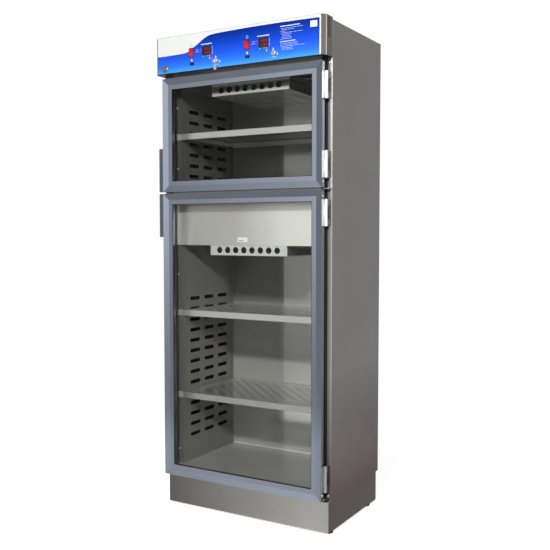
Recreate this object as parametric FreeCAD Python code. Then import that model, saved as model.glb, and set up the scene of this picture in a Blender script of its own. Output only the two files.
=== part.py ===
import FreeCAD, Part
import math
import os
from FreeCAD import Vector

os.makedirs("parts", exist_ok=True)

# Two-door blanket warming cabinet, in millimetres.
# Origin: middle of the outer box on the floor. +Z is up, -Y is the front, the doors hinge on the +X side.

# Whole cabinet
overall_width = 762.0
overall_height = 1905.0
body_depth = 445.0
console_projection = 63.0      # console face in front of the body front
key_reach = 24.0               # key in front of the console face
console_height = 143.0
console_rise = 8.0             # console top above the body top
console_bevel = 14.0
console_lip_drop = 5.0         # console's rear lip below the body top
foot_height = 10.0
plinth_height = 127.0
plinth_inset = 10.0

# Sheet metal and insulated walls
skin = 1.5
liner = 1.2
plinth_sheet = 2.0
skin_bend = 4.0
wall_thickness = 30.0
back_wall_thickness = 33.0
floor_thickness = 31.0
divider_thickness = 59.0
ceiling_thickness = 28.0
top_rail_height = 44.0
front_lip = 44.0               # width of the body's front flange
rear_lip = 20.0

# Chambers
upper_chamber_height = 397.0
module_bay_height = 179.0      # hidden bay above the lower chamber
air_gap = 31.0                 # channel behind each slotted baffle
throat_depth = 31.0            # body front to the baffle's flange

# Slotted baffles
air_slot_length = 70.0
air_slot_width = 15.5
air_slot_pitch = 44.4
air_slot_columns = 3
air_slot_column_pitch = 102.0
air_slot_first_column = 87.0   # behind the baffle's flange
lower_slot_first_row = 110.0
lower_slot_top_margin = 220.0
upper_slot_first_row = 44.0
upper_slot_top_margin = 80.0
clip_slot_width = 3.2
clip_slot_height = 9.0
clip_slot_pitch = 12.7
clip_slot_first = 21.5
clip_slot_top_margin = 20.0
front_clip_inset = 17.0        # behind the baffle's flange
rear_clip_inset = 21.0         # in front of the chamber's back

# Shelves
shelf_share_low = 0.294        # share of the way up the clip slots
shelf_share_high = 0.691
shelf_share_upper = 0.4815
shelf_edge = 24.0
shelf_side_edge = 18.0
shelf_overhang = 2.0           # shelf's front edge in front of the baffle's flange
shelf_side_clearance = 5.0
shelf_rear_clearance = 8.0
shelf_slot_length = 26.0
shelf_slot_width = 8.0
shelf_slot_pitch_x = 52.0
shelf_slot_pitch_y = 26.0
shelf_slot_margin = 34.0
rail_sheet = 1.5
rail_ledge = 18.0
rail_ear = 26.0
rail_upright_drop = 4.0        # upright's top edge below the shelf's top
rail_end_clearance = 1.0
clip_drop = 12.0
clip_reach = 14.0
clip_width = 10.0
clip_peg_length = 5.0
clip_peg_rise = 0.5            # peg's slot above the clip's bottom
clip_tip = 4.0
clip_clearance = 0.2

# Heater modules
module_hole_clearance = 1.0
duct_half_width = 177.0
deck_mouth_inset = 8.0         # opening in the deck inside the duct's walls
duct_height = 42.0
duct_depth = 70.0              # front bay, up to the partition
duct_hole_count = 8
duct_hole_pitch = 38.0
duct_hole_radius = 12.5
bay_slot_length = 44.0         # slots under the rear bay
bay_slot_width = 8.0
bay_slot_pitch_x = 64.0
bay_slot_pitch_y = 30.0
bay_slot_columns = 5
bay_slot_margin = 34.0
bay_side_slot_length = 22.0
lower_duct_setback = 30.0      # duct front behind the body front
upper_duct_setback = 44.0
blower_radius = 85.0
blower_height = 62.0
blower_centre = 264.0          # blower axis behind the body front
blower_neck_width = 84.0
intake_radius = 50.0
intake_hole_radius = 4.0
intake_hole_pitch = 13.0
impeller_radius = 68.0
impeller_blade_height = 40.0
impeller_blades = 16
impeller_rim_width = 19.0
impeller_boss_radius = 7.2
blade_inner_radius = 51.0
blade_tip_inset = 1.0
blade_thickness = 1.6
blade_angle = 35.0
impeller_lift = 8.0            # impeller above the tray
impeller_sheet = 3.0
shaft_radius = 4.0
shaft_clearance = 0.1
motor_radius = 42.0
motor_height = 52.0
motor_chamfer = 4.0
shaft_hole_radius = 8.0
shaft_engagement = 30.0
shaft_end_play = 1.0
element_radius = 4.0
element_count = 3
valance_stand = 6.0            # valance face in front of the baffle's flange
valance_drop = 2.0
valance_bend_offset = 5.0
valance_end_gap = 4.0
lamp_bar_length = 120.0
lamp_bar_depth = 22.0
lamp_bar_height = 12.0
lamp_bar_setback = 8.0
lamp_bar_round = 4.0

# Doors
door_side_inset = 21.0
door_split_gap = 7.0
door_top_gap = 15.0
door_bottom_gap = 1.0
door_front_offset = 43.5       # door face in front of the body front
door_thickness = 22.0
stile_bevel = 24.5
stile_flat = 17.8
bevel_depth = 5.3
frame_lip = 3.0
frame_wall = 2.0
pane_thickness = 4.0
pane_clearance = 0.05
pane_edge_clearance = 1.0
groove_depth = 12.0
pane_gap = 3.0
gasket_clearance = 0.3
gasket_base_inset = 3.0
gasket_base_width = 35.0
gasket_base_height = 4.0
gasket_bulb_inset = 7.0
gasket_bulb_width = 12.0
gasket_bulb_round = 3.0

# Handles
handle_length = 175.0
handle_reach = 21.0
handle_sheet = 2.5
handle_setback = 3.5
handle_curl = 10.0
handle_foot = 14.0
handle_corner = 5.0

# Hinges
hinge_length = 96.0
hinge_end_inset = 36.0
hinge_side_offset = 9.0        # pin axis outside the door's edge
hinge_setback = 19.5           # pin axis behind the door's face
knuckle_radius = 6.5
knuckle_end_length = 24.0
knuckle_gap = 0.3
hinge_pin_radius = 3.0
hinge_pin_clearance = 0.05
hinge_head_radius = 4.4
hinge_head_height = 1.6
hinge_leaf = 2.0
hinge_web = 4.0
door_leaf_width = 12.0
body_leaf_width = 17.0
stop_tab_reach = 26.0
stop_tab_sheet = 2.0
stop_tab_width = 23.0
stop_tab_inset = 1.0
stop_tab_round = 6.0

# Console controls, placed from each group's display centre
overlay_sheet = 0.5
overlay_margin = 1.0           # bare console above and below the overlay
overlay_end_gap = 1.5
group_centres = (-128.2, 127.0)
group_height = 69.8            # display centre above the console's bottom
display_width = 41.0
display_height = 35.0
display_recess = 0.8
display_neck_inset = 3.0
controller_setback = 9.0       # controller's box behind the console sheet
controller_depth = 41.0
controller_half_width = 30.0
controller_below = 30.0
controller_above = 24.0
panel_hole_clearance = 0.3
rocker_offset = (-72.2, 0.4)
light_switch_offset = (-69.6, -43.6)
lamp_offsets = ((-27.3, 7.8), (-27.3, -0.2))
lamp_radius = 2.5
lamp_proud = 1.2
lamp_round = 1.1
lamp_base_radius = 3.3
lamp_base_length = 5.0
button_offsets = ((-14.0, -21.5), (4.0, -21.5), (14.4, -21.5))
button_radius = 4.0
button_proud = 3.4
button_round = 1.6
button_travel = 1.2
button_collar_radius = 4.9
button_collar = 1.5
button_stem_radius = 2.0
switch_gap = 0.3
key_switch_offset = (43.2, -42.8)
key_bezel_radius = 9.2
key_barrel_radius = 7.8
key_bezel_proud = 3.0
key_bezel_round = 1.2
tumbler_radius = 6.1
tumbler_collar = 2.0
tumbler_link_radius = 5.1
turning_clearance = 0.1
barrel_length = 30.0
key_slot_width = 2.2
key_slot_height = 8.0
key_slot_depth = 18.0
key_neck_radius = 3.0
key_neck_length = 6.0
key_bow_height = 22.0
key_bow_thickness = 2.4
key_bow_round = 6.0
key_hole_radius = 2.2
key_hole_inset = 5.0
tag_ring_radius = 7.8
tag_wire_radius = 0.8
tag_eye_inner = 1.5
tag_eye_outer = 2.6
tag_eye_length = 6.0
tag_eye_bite = 0.4             # strap's top edge below the eye's hole
tag_round = 2.5
tag_width = 12.0
tag_thickness = 1.6
tag_length = 22.0
lock_inset = 52.0              # lock axis inside the console's end
lock_height = 19.0             # lock axis above the console's bottom
lock_bezel_radius = 13.0
lock_bezel_proud = 3.5
lock_bezel_round = 2.6
lock_plug_recess = 0.8
lock_slot_width = 1.6
lock_slot_height = 7.0
lock_slot_depth = 6.0
lock_cam_round = 5.0
lock_barrel_radius = 9.4
lock_plug_radius = 7.0
lock_cam_length = 30.0
lock_cam_width = 14.0
lock_cam_sheet = 2.5

# Rocker switches: half width, half length, ridge, tilt in degrees
power_rocker = {"half_width": 9.3, "half_length": 14.2, "proud": 3.6, "dish": 2.2, "tilt": 8.0}
light_rocker = {"half_width": 3.4, "half_length": 6.6, "proud": 2.4, "dish": 0.9, "tilt": 8.0}
rocker_side_clearance = 0.4
rocker_end_clearance = 1.2
rocker_pivot_depth = 4.0
rocker_axle_radius = 1.0
rocker_keel = 4.0              # underside below the axle
rocker_heel = 0.86             # underside's length over the top's
rocker_wall = 0.8
rocker_bezel = 0.8
rocker_bezel_proud = 1.5
rocker_housing_depth = 22.0

# Console vents, back vents, inlet, feet and screws
console_vent_count = 9
console_vent_pitch = 8.0
console_vent_length = 17.0
console_vent_width = 3.6
console_vent_top_inset = 9.5
console_vent_setback = 28.5    # vent centre in front of the body front
back_vent_rows = 10
back_vent_pitch = 9.0
back_vent_length = 70.0
back_vent_width = 4.0
back_vent_spacing = 90.0
back_vent_offset = -170.0
back_vent_height = 40.0
inlet_offset = 230.0
inlet_height = 60.0
inlet_half_width = 24.0
inlet_half_height = 14.0
inlet_depth = 26.0
inlet_flange = 5.0
inlet_wall = 3.0
inlet_hole_clearance = 0.5
inlet_well_half_width = 17.5
inlet_well_half_height = 9.5
inlet_pin_half_width = 3.0
inlet_pin_half_height = 1.0
inlet_pin_pitch = 11.0
inlet_pin_recess = 6.0
foot_radius = 18.0
foot_chamfer = 1.5
foot_spigot_radius = 5.0
foot_spigot_length = 12.0
foot_hole_clearance = 0.1
foot_side_inset = 19.0
foot_front_inset = 39.0
foot_rear_inset = 62.0
foot_bracket = 54.0
foot_bracket_sheet = 3.0
tolerance = 0.01               # for picking edges by their place
screw_head_radius = 3.6
screw_head_height = 2.2
screw_shank_radius = 1.8
screw_shank_length = 7.0
screw_hole_clearance = 0.1
baffle_screw_inset = 11.0      # inside the liner's face
lower_baffle_screws = (61.0, 123.0)     # above the floor, below the deck
upper_baffle_screws = (73.0, 76.8)
body_screw_inset = 12.0
body_screw_height = 17.0
back_screw_inset = 9.0
back_screw_rows = 5

# Places that follow from the sizes
half_width = overall_width / 2
overall_depth = body_depth + console_projection + key_reach + screw_head_height
back_y = overall_depth / 2 - screw_head_height
body_front_y = back_y - body_depth
console_front_y = body_front_y - console_projection
console_sheet_y = console_front_y + overlay_sheet
body_bottom_z = foot_height + plinth_height
body_top_z = overall_height - console_rise
console_bottom_z = overall_height - console_height
panel_inner_y = body_front_y + skin
back_panel_y = back_y - 2 * skin
inner_half_width = half_width - skin
inner_bend = skin_bend - skin
back_panel_x = inner_half_width - inner_bend

liner_x = half_width - wall_thickness
opening_x = half_width - front_lip
chamber_back_y = back_y - back_wall_thickness
baffle_x = liner_x - air_gap
flange_y = body_front_y + throat_depth
lower_floor_z = body_bottom_z + floor_thickness
upper_ceiling_z = console_bottom_z - top_rail_height
upper_floor_z = upper_ceiling_z - upper_chamber_height
lower_ceiling_z = upper_floor_z - divider_thickness
lower_tray_z = lower_ceiling_z - module_bay_height
upper_tray_z = upper_ceiling_z - liner
service_floor_z = upper_ceiling_z + ceiling_thickness
valance_front_y = flange_y - valance_stand
valance_sheet_y = valance_front_y + liner

door_half_width = half_width - door_side_inset
door_front_y = body_front_y - door_front_offset
door_split_z = (lower_ceiling_z + upper_floor_z) / 2
lower_door_z = (body_bottom_z + door_bottom_gap, door_split_z - door_split_gap / 2)
upper_door_z = (door_split_z + door_split_gap / 2, console_bottom_z - door_top_gap)
stile_width = stile_bevel + stile_flat
hinge_x = door_half_width + hinge_side_offset
hinge_y = door_front_y + hinge_setback

lower_duct_y = body_front_y + lower_duct_setback
upper_duct_y = body_front_y + upper_duct_setback
blower_y = body_front_y + blower_centre
group_z = console_bottom_z + group_height
lock_x = -half_width + lock_inset
lock_z = console_bottom_z + lock_height
panel_back_y = console_sheet_y + skin
controller_y = panel_back_y + controller_setback

x_axis = Vector(1, 0, 0)
y_axis = Vector(0, 1, 0)
z_axis = Vector(0, 0, 1)


# Small shape helpers

def block(x_low, x_high, y_low, y_high, z_low, z_high):
    return Part.makeBox(x_high - x_low, y_high - y_low, z_high - z_low, Vector(x_low, y_low, z_low))


def rod(start, axis, radius, length):
    return Part.makeCylinder(radius, length, start, axis)


def point_in(plane, u, v):
    origin, u_axis, v_axis = plane
    return origin + u_axis * u + v_axis * v


def polygon(plane, points):
    corners = [point_in(plane, u, v) for u, v in points]
    return Part.makePolygon(corners + corners[:1])


def rectangle(plane, u_low, u_high, v_low, v_high):
    return polygon(plane, [(u_low, v_low), (u_high, v_low), (u_high, v_high), (u_low, v_high)])


def circle(plane, u, v, radius):
    return Part.Wire(Part.makeCircle(radius, point_in(plane, u, v), plane[1].cross(plane[2])))


def obround(plane, u, v, length, width):
    straight = (length - width) / 2
    radius = width / 2
    right_top = point_in(plane, u + straight, v + radius)
    right_low = point_in(plane, u + straight, v - radius)
    left_top = point_in(plane, u - straight, v + radius)
    left_low = point_in(plane, u - straight, v - radius)
    right_end = Part.Arc(right_top, point_in(plane, u + length / 2, v), right_low)
    left_end = Part.Arc(left_low, point_in(plane, u - length / 2, v), left_top)
    edges = [Part.makeLine(left_top, right_top), right_end.toShape(),
             Part.makeLine(right_low, left_low), left_end.toShape()]
    return Part.Wire(edges)


def plate(plane, thickness, outline, holes=()):
    face = Part.makeFace(Part.Compound([outline] + list(holes)), "Part::FaceMakerBullseye")
    return face.extrude(plane[1].cross(plane[2]) * thickness)


def joined(shapes):
    return shapes[0].fuse(list(shapes[1:])).removeSplitter()


def mirrored(shape):
    return shape.mirror(Vector(0, 0, 0), x_axis)


def both_sides(shape):
    return [shape, mirrored(shape)]


def round_edges(shape, radius, wanted):
    edges = [edge for edge in shape.Edges if wanted(edge)]
    return shape.makeFillet(radius, edges)


def round_front(shape, radius, front):
    """Round the edges of the face that lies furthest forward, at y = front."""
    return round_edges(shape, radius, lambda edge: edge.BoundBox.YMax < front + tolerance)


def runs_along(edge, axis, **place):
    line = edge.Vertexes[-1].Point - edge.Vertexes[0].Point
    if line.Length < 1e-6 or abs(abs(line.normalize().dot(axis)) - 1) > 1e-6:
        return False
    middle = edge.BoundBox.Center
    return all(abs(getattr(middle, name) - value) < 0.01 for name, value in place.items())


def save(name, solids):
    shape = solids[0] if len(solids) == 1 else Part.Compound(solids)
    for solid in shape.Solids:
        if not solid.isValid() or solid.Volume <= 0:
            raise ValueError(name + " has a solid that is not closed")
    shape.exportStep("parts/" + name + ".step")
    print(name, len(shape.Solids))


def plan(z):
    return (Vector(0, 0, z), x_axis, y_axis)


def front_plane(y):
    return (Vector(0, y, 0), z_axis, x_axis)      # u is Z, v is X, thickness grows towards +Y


def side_plane(x):
    return (Vector(x, 0, 0), y_axis, z_axis)      # u is Y, v is Z, thickness grows towards +X


# Screws, shared with the holes that they pass through

def screw(x, y, z, towards_back=True):
    """A pan-head screw whose head stands on the face at y."""
    direction = 1 if towards_back else -1
    head = rod(Vector(x, y, z), y_axis * -direction, screw_head_radius, screw_head_height)
    shank = rod(Vector(x, y, z), y_axis * direction, screw_shank_radius, screw_shank_length)
    return joined([head, shank])


def screw_holes(places, y_low, y_high):
    radius = screw_shank_radius + screw_hole_clearance
    return Part.Compound([rod(Vector(x, y_low, z), y_axis, radius, y_high - y_low) for x, z in places])


body_screw_z = (body_bottom_z + body_screw_height, console_bottom_z - body_screw_height)
body_screw_places = [(side * (half_width - body_screw_inset), z) for side in (-1, 1) for z in body_screw_z]
back_screw_step = (body_top_z - body_bottom_z - 4 * back_screw_inset) / (back_screw_rows - 1)
back_screw_places = [(side * (half_width - back_screw_inset),
                      body_bottom_z + 2 * back_screw_inset + row * back_screw_step)
                     for side in (-1, 1) for row in range(back_screw_rows)]
baffle_screw_x = liner_x - baffle_screw_inset
lower_baffle_z = (lower_floor_z + lower_baffle_screws[0], lower_tray_z - lower_baffle_screws[1])
upper_baffle_z = (upper_floor_z + upper_baffle_screws[0], upper_tray_z - upper_baffle_screws[1])
lower_baffle_places = [(side * baffle_screw_x, z) for side in (-1, 1) for z in lower_baffle_z]
upper_baffle_places = [(side * baffle_screw_x, z) for side in (-1, 1) for z in upper_baffle_z]


# Outer body

def side_panel():
    """Right side: one sheet with a wide front flange and a narrow rear flange."""
    outline = [(opening_x, body_front_y), (half_width, body_front_y), (half_width, back_y),
               (half_width - rear_lip, back_y), (half_width - rear_lip, back_y - skin),
               (inner_half_width, back_y - skin), (inner_half_width, panel_inner_y),
               (opening_x, panel_inner_y)]
    floor = plan(body_bottom_z)
    panel = plate(floor, body_top_z - body_bottom_z, polygon(floor, outline))
    for x, y, radius in ((half_width, body_front_y, skin_bend), (half_width, back_y, skin_bend),
                         (inner_half_width, panel_inner_y, inner_bend),
                         (inner_half_width, back_y - skin, inner_bend)):
        panel = round_edges(panel, radius, lambda edge: runs_along(edge, z_axis, x=x, y=y))
    panel = panel.cut(screw_holes(body_screw_places, body_front_y, panel_inner_y))
    return panel.cut(screw_holes(back_screw_places, back_y - skin, back_y))


def back_panel():
    face = front_plane(back_panel_y)
    vents = [obround((face[0], x_axis, z_axis), back_vent_offset + column * back_vent_spacing,
                     service_floor_z + back_vent_height + row * back_vent_pitch,
                     back_vent_length, back_vent_width)
             for row in range(back_vent_rows) for column in (-0.5, 0.5)]
    inlet_z = service_floor_z + inlet_height
    inlet_hole = rectangle(face, inlet_z - inlet_half_height, inlet_z + inlet_half_height,
                           inlet_offset - inlet_half_width, inlet_offset + inlet_half_width)
    outline = rectangle(face, body_bottom_z, body_top_z, -back_panel_x, back_panel_x)
    panel = plate(face, skin, outline, vents + [inlet_hole])
    return panel.cut(screw_holes(back_screw_places, back_panel_y, back_y))


def body_sheet(z_low):
    """A flat sheet between the side panels: the top panel or the base pan."""
    sheet = block(-inner_half_width, inner_half_width, panel_inner_y, back_panel_y, z_low, z_low + skin)
    return sheet.cut(bend_relief()).cut(mirrored(bend_relief()))


def front_rails():
    spans = ((body_bottom_z, lower_floor_z), (lower_ceiling_z, upper_floor_z),
             (upper_ceiling_z, console_bottom_z))
    rails = [block(-opening_x, opening_x, body_front_y, panel_inner_y, low, high) for low, high in spans]
    tab_x = half_width - stop_tab_inset - stop_tab_width
    for z_low in (door_split_z - stop_tab_sheet / 2, body_bottom_z - stop_tab_sheet):
        tab = block(tab_x, tab_x + stop_tab_width, body_front_y - stop_tab_reach, body_front_y,
                    z_low, z_low + stop_tab_sheet)
        outer_corner = {"x": tab_x + stop_tab_width, "y": body_front_y - stop_tab_reach}
        rails.append(round_edges(tab, stop_tab_round, lambda edge: runs_along(edge, z_axis, **outer_corner)))
    return rails


def plinth():
    outer_x = half_width - plinth_inset
    inner_x = outer_x - plinth_sheet
    front_inner = body_front_y + plinth_sheet
    back_inner = back_y - plinth_sheet
    plates = [block(-outer_x, outer_x, body_front_y, front_inner, foot_height, body_bottom_z),
              block(-outer_x, outer_x, back_inner, back_y, foot_height, body_bottom_z)]
    plates += both_sides(block(inner_x, outer_x, front_inner, back_inner, foot_height, body_bottom_z))
    for x, y in foot_places():
        low_x, high_x = (inner_x - foot_bracket, inner_x) if x > 0 else (-inner_x, -inner_x + foot_bracket)
        low_y, high_y = (front_inner, y + foot_bracket / 2) if y < 0 else (y - foot_bracket / 2, back_inner)
        bracket = block(low_x, high_x, low_y, high_y, foot_height, foot_height + foot_bracket_sheet)
        hole = rod(Vector(x, y, foot_height), z_axis, foot_spigot_radius + foot_hole_clearance,
                   foot_bracket_sheet)
        plates.append(bracket.cut(hole))
    return plates


def foot_places():
    x = half_width - plinth_inset - foot_side_inset
    return [(side * x, y) for side in (-1, 1)
            for y in (body_front_y + foot_front_inset, back_y - foot_rear_inset)]


def foot(x, y):
    pad = rod(Vector(x, y, 0), z_axis, foot_radius, foot_height)
    pad = pad.makeChamfer(foot_chamfer, [edge for edge in pad.Edges if edge.BoundBox.ZMax < tolerance])
    spigot = rod(Vector(x, y, foot_height), z_axis, foot_spigot_radius, foot_spigot_length)
    return joined([pad, spigot])


# Chambers

def chamber_liner(floor_z, ceiling_z, ceiling_hole=None):
    """Five flat sheets: floor, ceiling, back and the two sides."""
    outer_x = liner_x + liner
    floor_low = floor_z - liner
    ceiling_top = ceiling_z + liner
    ceiling = block(-outer_x, outer_x, panel_inner_y, chamber_back_y, ceiling_z, ceiling_top)
    if ceiling_hole is not None:
        ceiling = ceiling.cut(ceiling_hole)
    floor = block(-outer_x, outer_x, panel_inner_y, chamber_back_y, floor_low, floor_z)
    back = block(-outer_x, outer_x, chamber_back_y, chamber_back_y + liner, floor_low, ceiling_top)
    side = block(liner_x, outer_x, panel_inner_y, chamber_back_y, floor_z, ceiling_z)
    return [floor, ceiling, back] + both_sides(side)


def module_hole():
    """The way up through the upper chamber's ceiling for its heater module."""
    reach_x = duct_half_width + module_hole_clearance
    return block(-reach_x, reach_x, upper_duct_y - module_hole_clearance,
                 blower_y + blower_radius + module_hole_clearance, upper_ceiling_z, service_floor_z)


def insulation():
    outer_x = liner_x + liner
    slab_back = chamber_back_y + liner
    low_z = body_bottom_z + skin
    side = block(outer_x, inner_half_width, panel_inner_y, back_panel_y, low_z, service_floor_z)
    back = block(-outer_x, outer_x, slab_back, back_panel_y, low_z, service_floor_z)
    spans = ((low_z, lower_floor_z - liner),
             (lower_ceiling_z + liner, upper_floor_z - liner),
             (upper_ceiling_z + liner, service_floor_z))
    slabs = [block(-outer_x, outer_x, panel_inner_y, slab_back, low, high) for low, high in spans]
    slabs[2] = slabs[2].cut(module_hole())
    front_holes = screw_holes(body_screw_places, panel_inner_y, panel_inner_y + screw_shank_length)
    back_holes = screw_holes(back_screw_places, back_y - screw_shank_length, back_panel_y)
    side = side.cut(bend_relief()).cut(front_holes).cut(back_holes)
    return both_sides(side) + [back] + slabs


def bend_relief():
    """Room for the inside of the right side panel's bends."""
    inner_x = inner_half_width - inner_bend
    corners = [block(inner_x, inner_half_width, y, y + inner_bend, body_bottom_z, body_top_z)
               for y in (panel_inner_y, back_panel_y + skin - inner_bend)]
    return Part.Compound(corners)


def baffle(floor_z, top_z, first_row, top_margin, screw_places):
    """Right baffle: a slotted sheet with shelf-clip slots and a front flange."""
    face = side_plane(baffle_x)
    rows = int((top_z - top_margin - floor_z - first_row) / air_slot_pitch) + 1
    holes = []
    for row in range(rows):
        for column in range(air_slot_columns):
            y = flange_y + air_slot_first_column + column * air_slot_column_pitch
            z = floor_z + first_row + row * air_slot_pitch
            holes.append(obround(face, y, z, air_slot_length, air_slot_width))
    for row in range(clip_row_count(floor_z, top_z)):
        z = floor_z + clip_slot_first + row * clip_slot_pitch
        for y in clip_columns():
            holes.append(rectangle(face, y - clip_slot_width / 2, y + clip_slot_width / 2,
                                   z - clip_slot_height / 2, z + clip_slot_height / 2))
    wall = plate(face, liner, rectangle(face, flange_y, chamber_back_y, floor_z, top_z), holes)
    flange = block(baffle_x + liner, liner_x, flange_y, flange_y + liner, floor_z, top_z)
    flange = flange.cut(screw_holes(screw_places, flange_y, flange_y + liner))
    return joined([wall, flange])


def clip_columns():
    return (flange_y + front_clip_inset, chamber_back_y - rear_clip_inset)


# Shelves, their rails and clips

def clip_row_count(floor_z, top_z):
    return int((top_z - clip_slot_top_margin - floor_z - clip_slot_first) / clip_slot_pitch) + 1


def shelf_top(floor_z, top_z, share):
    steps = round(share * (clip_row_count(floor_z, top_z) - 1))
    clip_centre = floor_z + clip_slot_first + steps * clip_slot_pitch
    return clip_centre + clip_drop - clip_slot_height / 2 - clip_peg_rise + rail_sheet + shelf_side_edge


shelf_tops = {"lower_shelf_low": shelf_top(lower_floor_z, lower_tray_z, shelf_share_low),
              "lower_shelf_high": shelf_top(lower_floor_z, lower_tray_z, shelf_share_high),
              "upper_shelf": shelf_top(upper_floor_z, upper_tray_z, shelf_share_upper)}
shelf_front_y = flange_y - shelf_overhang
shelf_back_y = chamber_back_y - shelf_rear_clearance
shelf_x = baffle_x - shelf_side_clearance


def shelf(top_z):
    """A perforated tray with its edges folded down."""
    tray = block(-shelf_x, shelf_x, shelf_front_y, shelf_back_y, top_z - shelf_edge, top_z)
    hollow = block(-shelf_x + liner, shelf_x - liner, shelf_front_y + liner, shelf_back_y - liner,
                   top_z - shelf_edge, top_z - liner)
    tray = tray.cut(hollow)
    side_trim = block(shelf_x - liner, shelf_x, shelf_front_y + liner, shelf_back_y - liner,
                      top_z - shelf_edge, top_z - shelf_side_edge)
    tray = tray.cut(Part.Compound(both_sides(side_trim)))
    under = plan(top_z - liner)
    columns = int((2 * shelf_x - 2 * shelf_slot_margin) / shelf_slot_pitch_x)
    rows = int((shelf_back_y - shelf_front_y - 2 * shelf_slot_margin) / shelf_slot_pitch_y) + 1
    slots = []
    for row in range(rows):
        in_row = columns + 1 if row % 2 == 0 else columns
        y = (shelf_front_y + shelf_back_y) / 2 + (row - (rows - 1) / 2) * shelf_slot_pitch_y
        for column in range(in_row):
            x = (column - (in_row - 1) / 2) * shelf_slot_pitch_x
            slot = obround(under, x, y, shelf_slot_length, shelf_slot_width)
            slots.append(plate(under, liner, slot))
    return tray.cut(Part.Compound(slots))


def shelf_rail(top_z):
    """Right rail: an angle on the baffle with an ear in front of the baffle's flange."""
    ledge_z = top_z - shelf_side_edge - rail_sheet
    rear_y = shelf_back_y
    ear_y = flange_y - rail_sheet
    upright = block(baffle_x - rail_sheet, baffle_x, ear_y, rear_y, ledge_z, top_z - rail_upright_drop)
    ledge_end = shelf_back_y - liner - rail_end_clearance
    ledge = block(baffle_x - rail_ledge, baffle_x, flange_y, ledge_end, ledge_z, ledge_z + rail_sheet)
    ear = block(baffle_x - rail_sheet, baffle_x + rail_ear, ear_y, flange_y, top_z - shelf_edge, top_z)
    return joined([upright, ledge, ear])


def shelf_clip(top_z, y):
    """Right clip: a hooked bracket under the rail with a peg through the baffle."""
    high_z = top_z - shelf_side_edge - rail_sheet
    low_z = high_z - clip_drop
    side = (Vector(0, y - clip_width / 2, 0), x_axis, z_axis)
    shape = [(baffle_x, low_z), (baffle_x, high_z), (baffle_x - clip_reach, high_z),
             (baffle_x - clip_reach, high_z - clip_tip)]
    body = plate(side, -clip_width, polygon(side, shape))
    peg_half_width = clip_slot_width / 2 - clip_clearance
    peg_half_height = clip_slot_height / 2 - clip_clearance
    peg_z = low_z + clip_peg_rise + clip_slot_height / 2
    peg = block(baffle_x, baffle_x + clip_peg_length, y - peg_half_width, y + peg_half_width,
                peg_z - peg_half_height, peg_z + peg_half_height)
    return joined([body, peg])


# Heater modules

def module_tray(tray_z, front_y, duct_y):
    """A perforated deck; its front tongue reaches the valance where there is one."""
    face = plan(tray_z)
    tongue_x = baffle_x + valance_bend_offset
    corners = [(liner_x, flange_y), (liner_x, chamber_back_y),
               (-liner_x, chamber_back_y), (-liner_x, flange_y)]
    if front_y < flange_y:
        corners += [(-tongue_x, flange_y), (-tongue_x, front_y), (tongue_x, front_y), (tongue_x, flange_y)]
    outline = polygon(face, corners)
    mouth_x = duct_half_width - deck_mouth_inset
    holes = [rectangle(face, -mouth_x, mouth_x, duct_y + deck_mouth_inset,
                       duct_y + duct_depth - deck_mouth_inset)]
    reach = int(intake_radius / intake_hole_pitch)
    for i in range(-reach, reach + 1):
        for j in range(-reach, reach + 1):
            if math.hypot(i, j) * intake_hole_pitch < intake_radius - intake_hole_radius:
                holes.append(circle(face, i * intake_hole_pitch, blower_y + j * intake_hole_pitch,
                                    intake_hole_radius))
    for side in (-1, 1):
        for column in range(air_slot_columns):
            y = flange_y + air_slot_first_column + column * air_slot_column_pitch
            turned = (face[0], y_axis, x_axis * -1)
            holes.append(obround(turned, y, side * (baffle_x + air_gap / 2), air_slot_length, air_slot_width))
    return plate(face, liner, outline, holes)


def air_duct(tray_z, duct_y):
    """A box under the deck: outlets in the front bay, and slots in the rear bay below the blower's intake."""
    low_z = tray_z - duct_height
    inner_x = duct_half_width - liner
    partition_y = duct_y + duct_depth
    outer = block(-duct_half_width, duct_half_width, duct_y, chamber_back_y, low_z, tray_z)
    front_bay = block(-inner_x, inner_x, duct_y + liner, partition_y - liner, low_z + liner, tray_z)
    rear_bay = block(-inner_x, inner_x, partition_y, chamber_back_y - liner, low_z + liner, tray_z)
    hole_z = tray_z - duct_height / 2
    first_x = -(duct_hole_count - 1) / 2 * duct_hole_pitch
    holes = [rod(Vector(first_x + index * duct_hole_pitch, duct_y, hole_z), y_axis, duct_hole_radius, liner)
             for index in range(duct_hole_count)]
    under = plan(low_z)
    side = (Vector(duct_half_width, 0, 0), z_axis, y_axis)
    rows = int((chamber_back_y - partition_y - 2 * bay_slot_margin) / bay_slot_pitch_y) + 1
    for row in range(rows):
        y = (partition_y + chamber_back_y) / 2 + (row - (rows - 1) / 2) * bay_slot_pitch_y
        for column in range(bay_slot_columns):
            x = (column - (bay_slot_columns - 1) / 2) * bay_slot_pitch_x
            holes.append(plate(under, liner, obround(under, x, y, bay_slot_length, bay_slot_width)))
        holes += both_sides(plate(side, liner, obround(side, hole_z, y, bay_side_slot_length, bay_slot_width)))
    return outer.cut(front_bay).cut(rear_bay).cut(Part.Compound(holes))


def blower_housing(base_z, duct_y):
    """A round scroll with a neck into the plenum above the duct, open below."""
    def solid(inset):
        top = base_z + blower_height - inset
        scroll = rod(Vector(0, blower_y, base_z), z_axis, blower_radius - inset, top - base_z)
        plenum = block(-duct_half_width + inset, duct_half_width - inset, duct_y + inset,
                       duct_y + duct_depth - inset, base_z, top)
        neck = block(-blower_radius + inset, -blower_radius + blower_neck_width - inset,
                     duct_y + duct_depth - 2 * liner - inset, blower_y, base_z, top)
        return joined([scroll, plenum, neck])
    shaft_hole = rod(Vector(0, blower_y, base_z), z_axis, shaft_hole_radius, blower_height)
    return solid(0).cut(solid(liner)).cut(shaft_hole)


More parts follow.
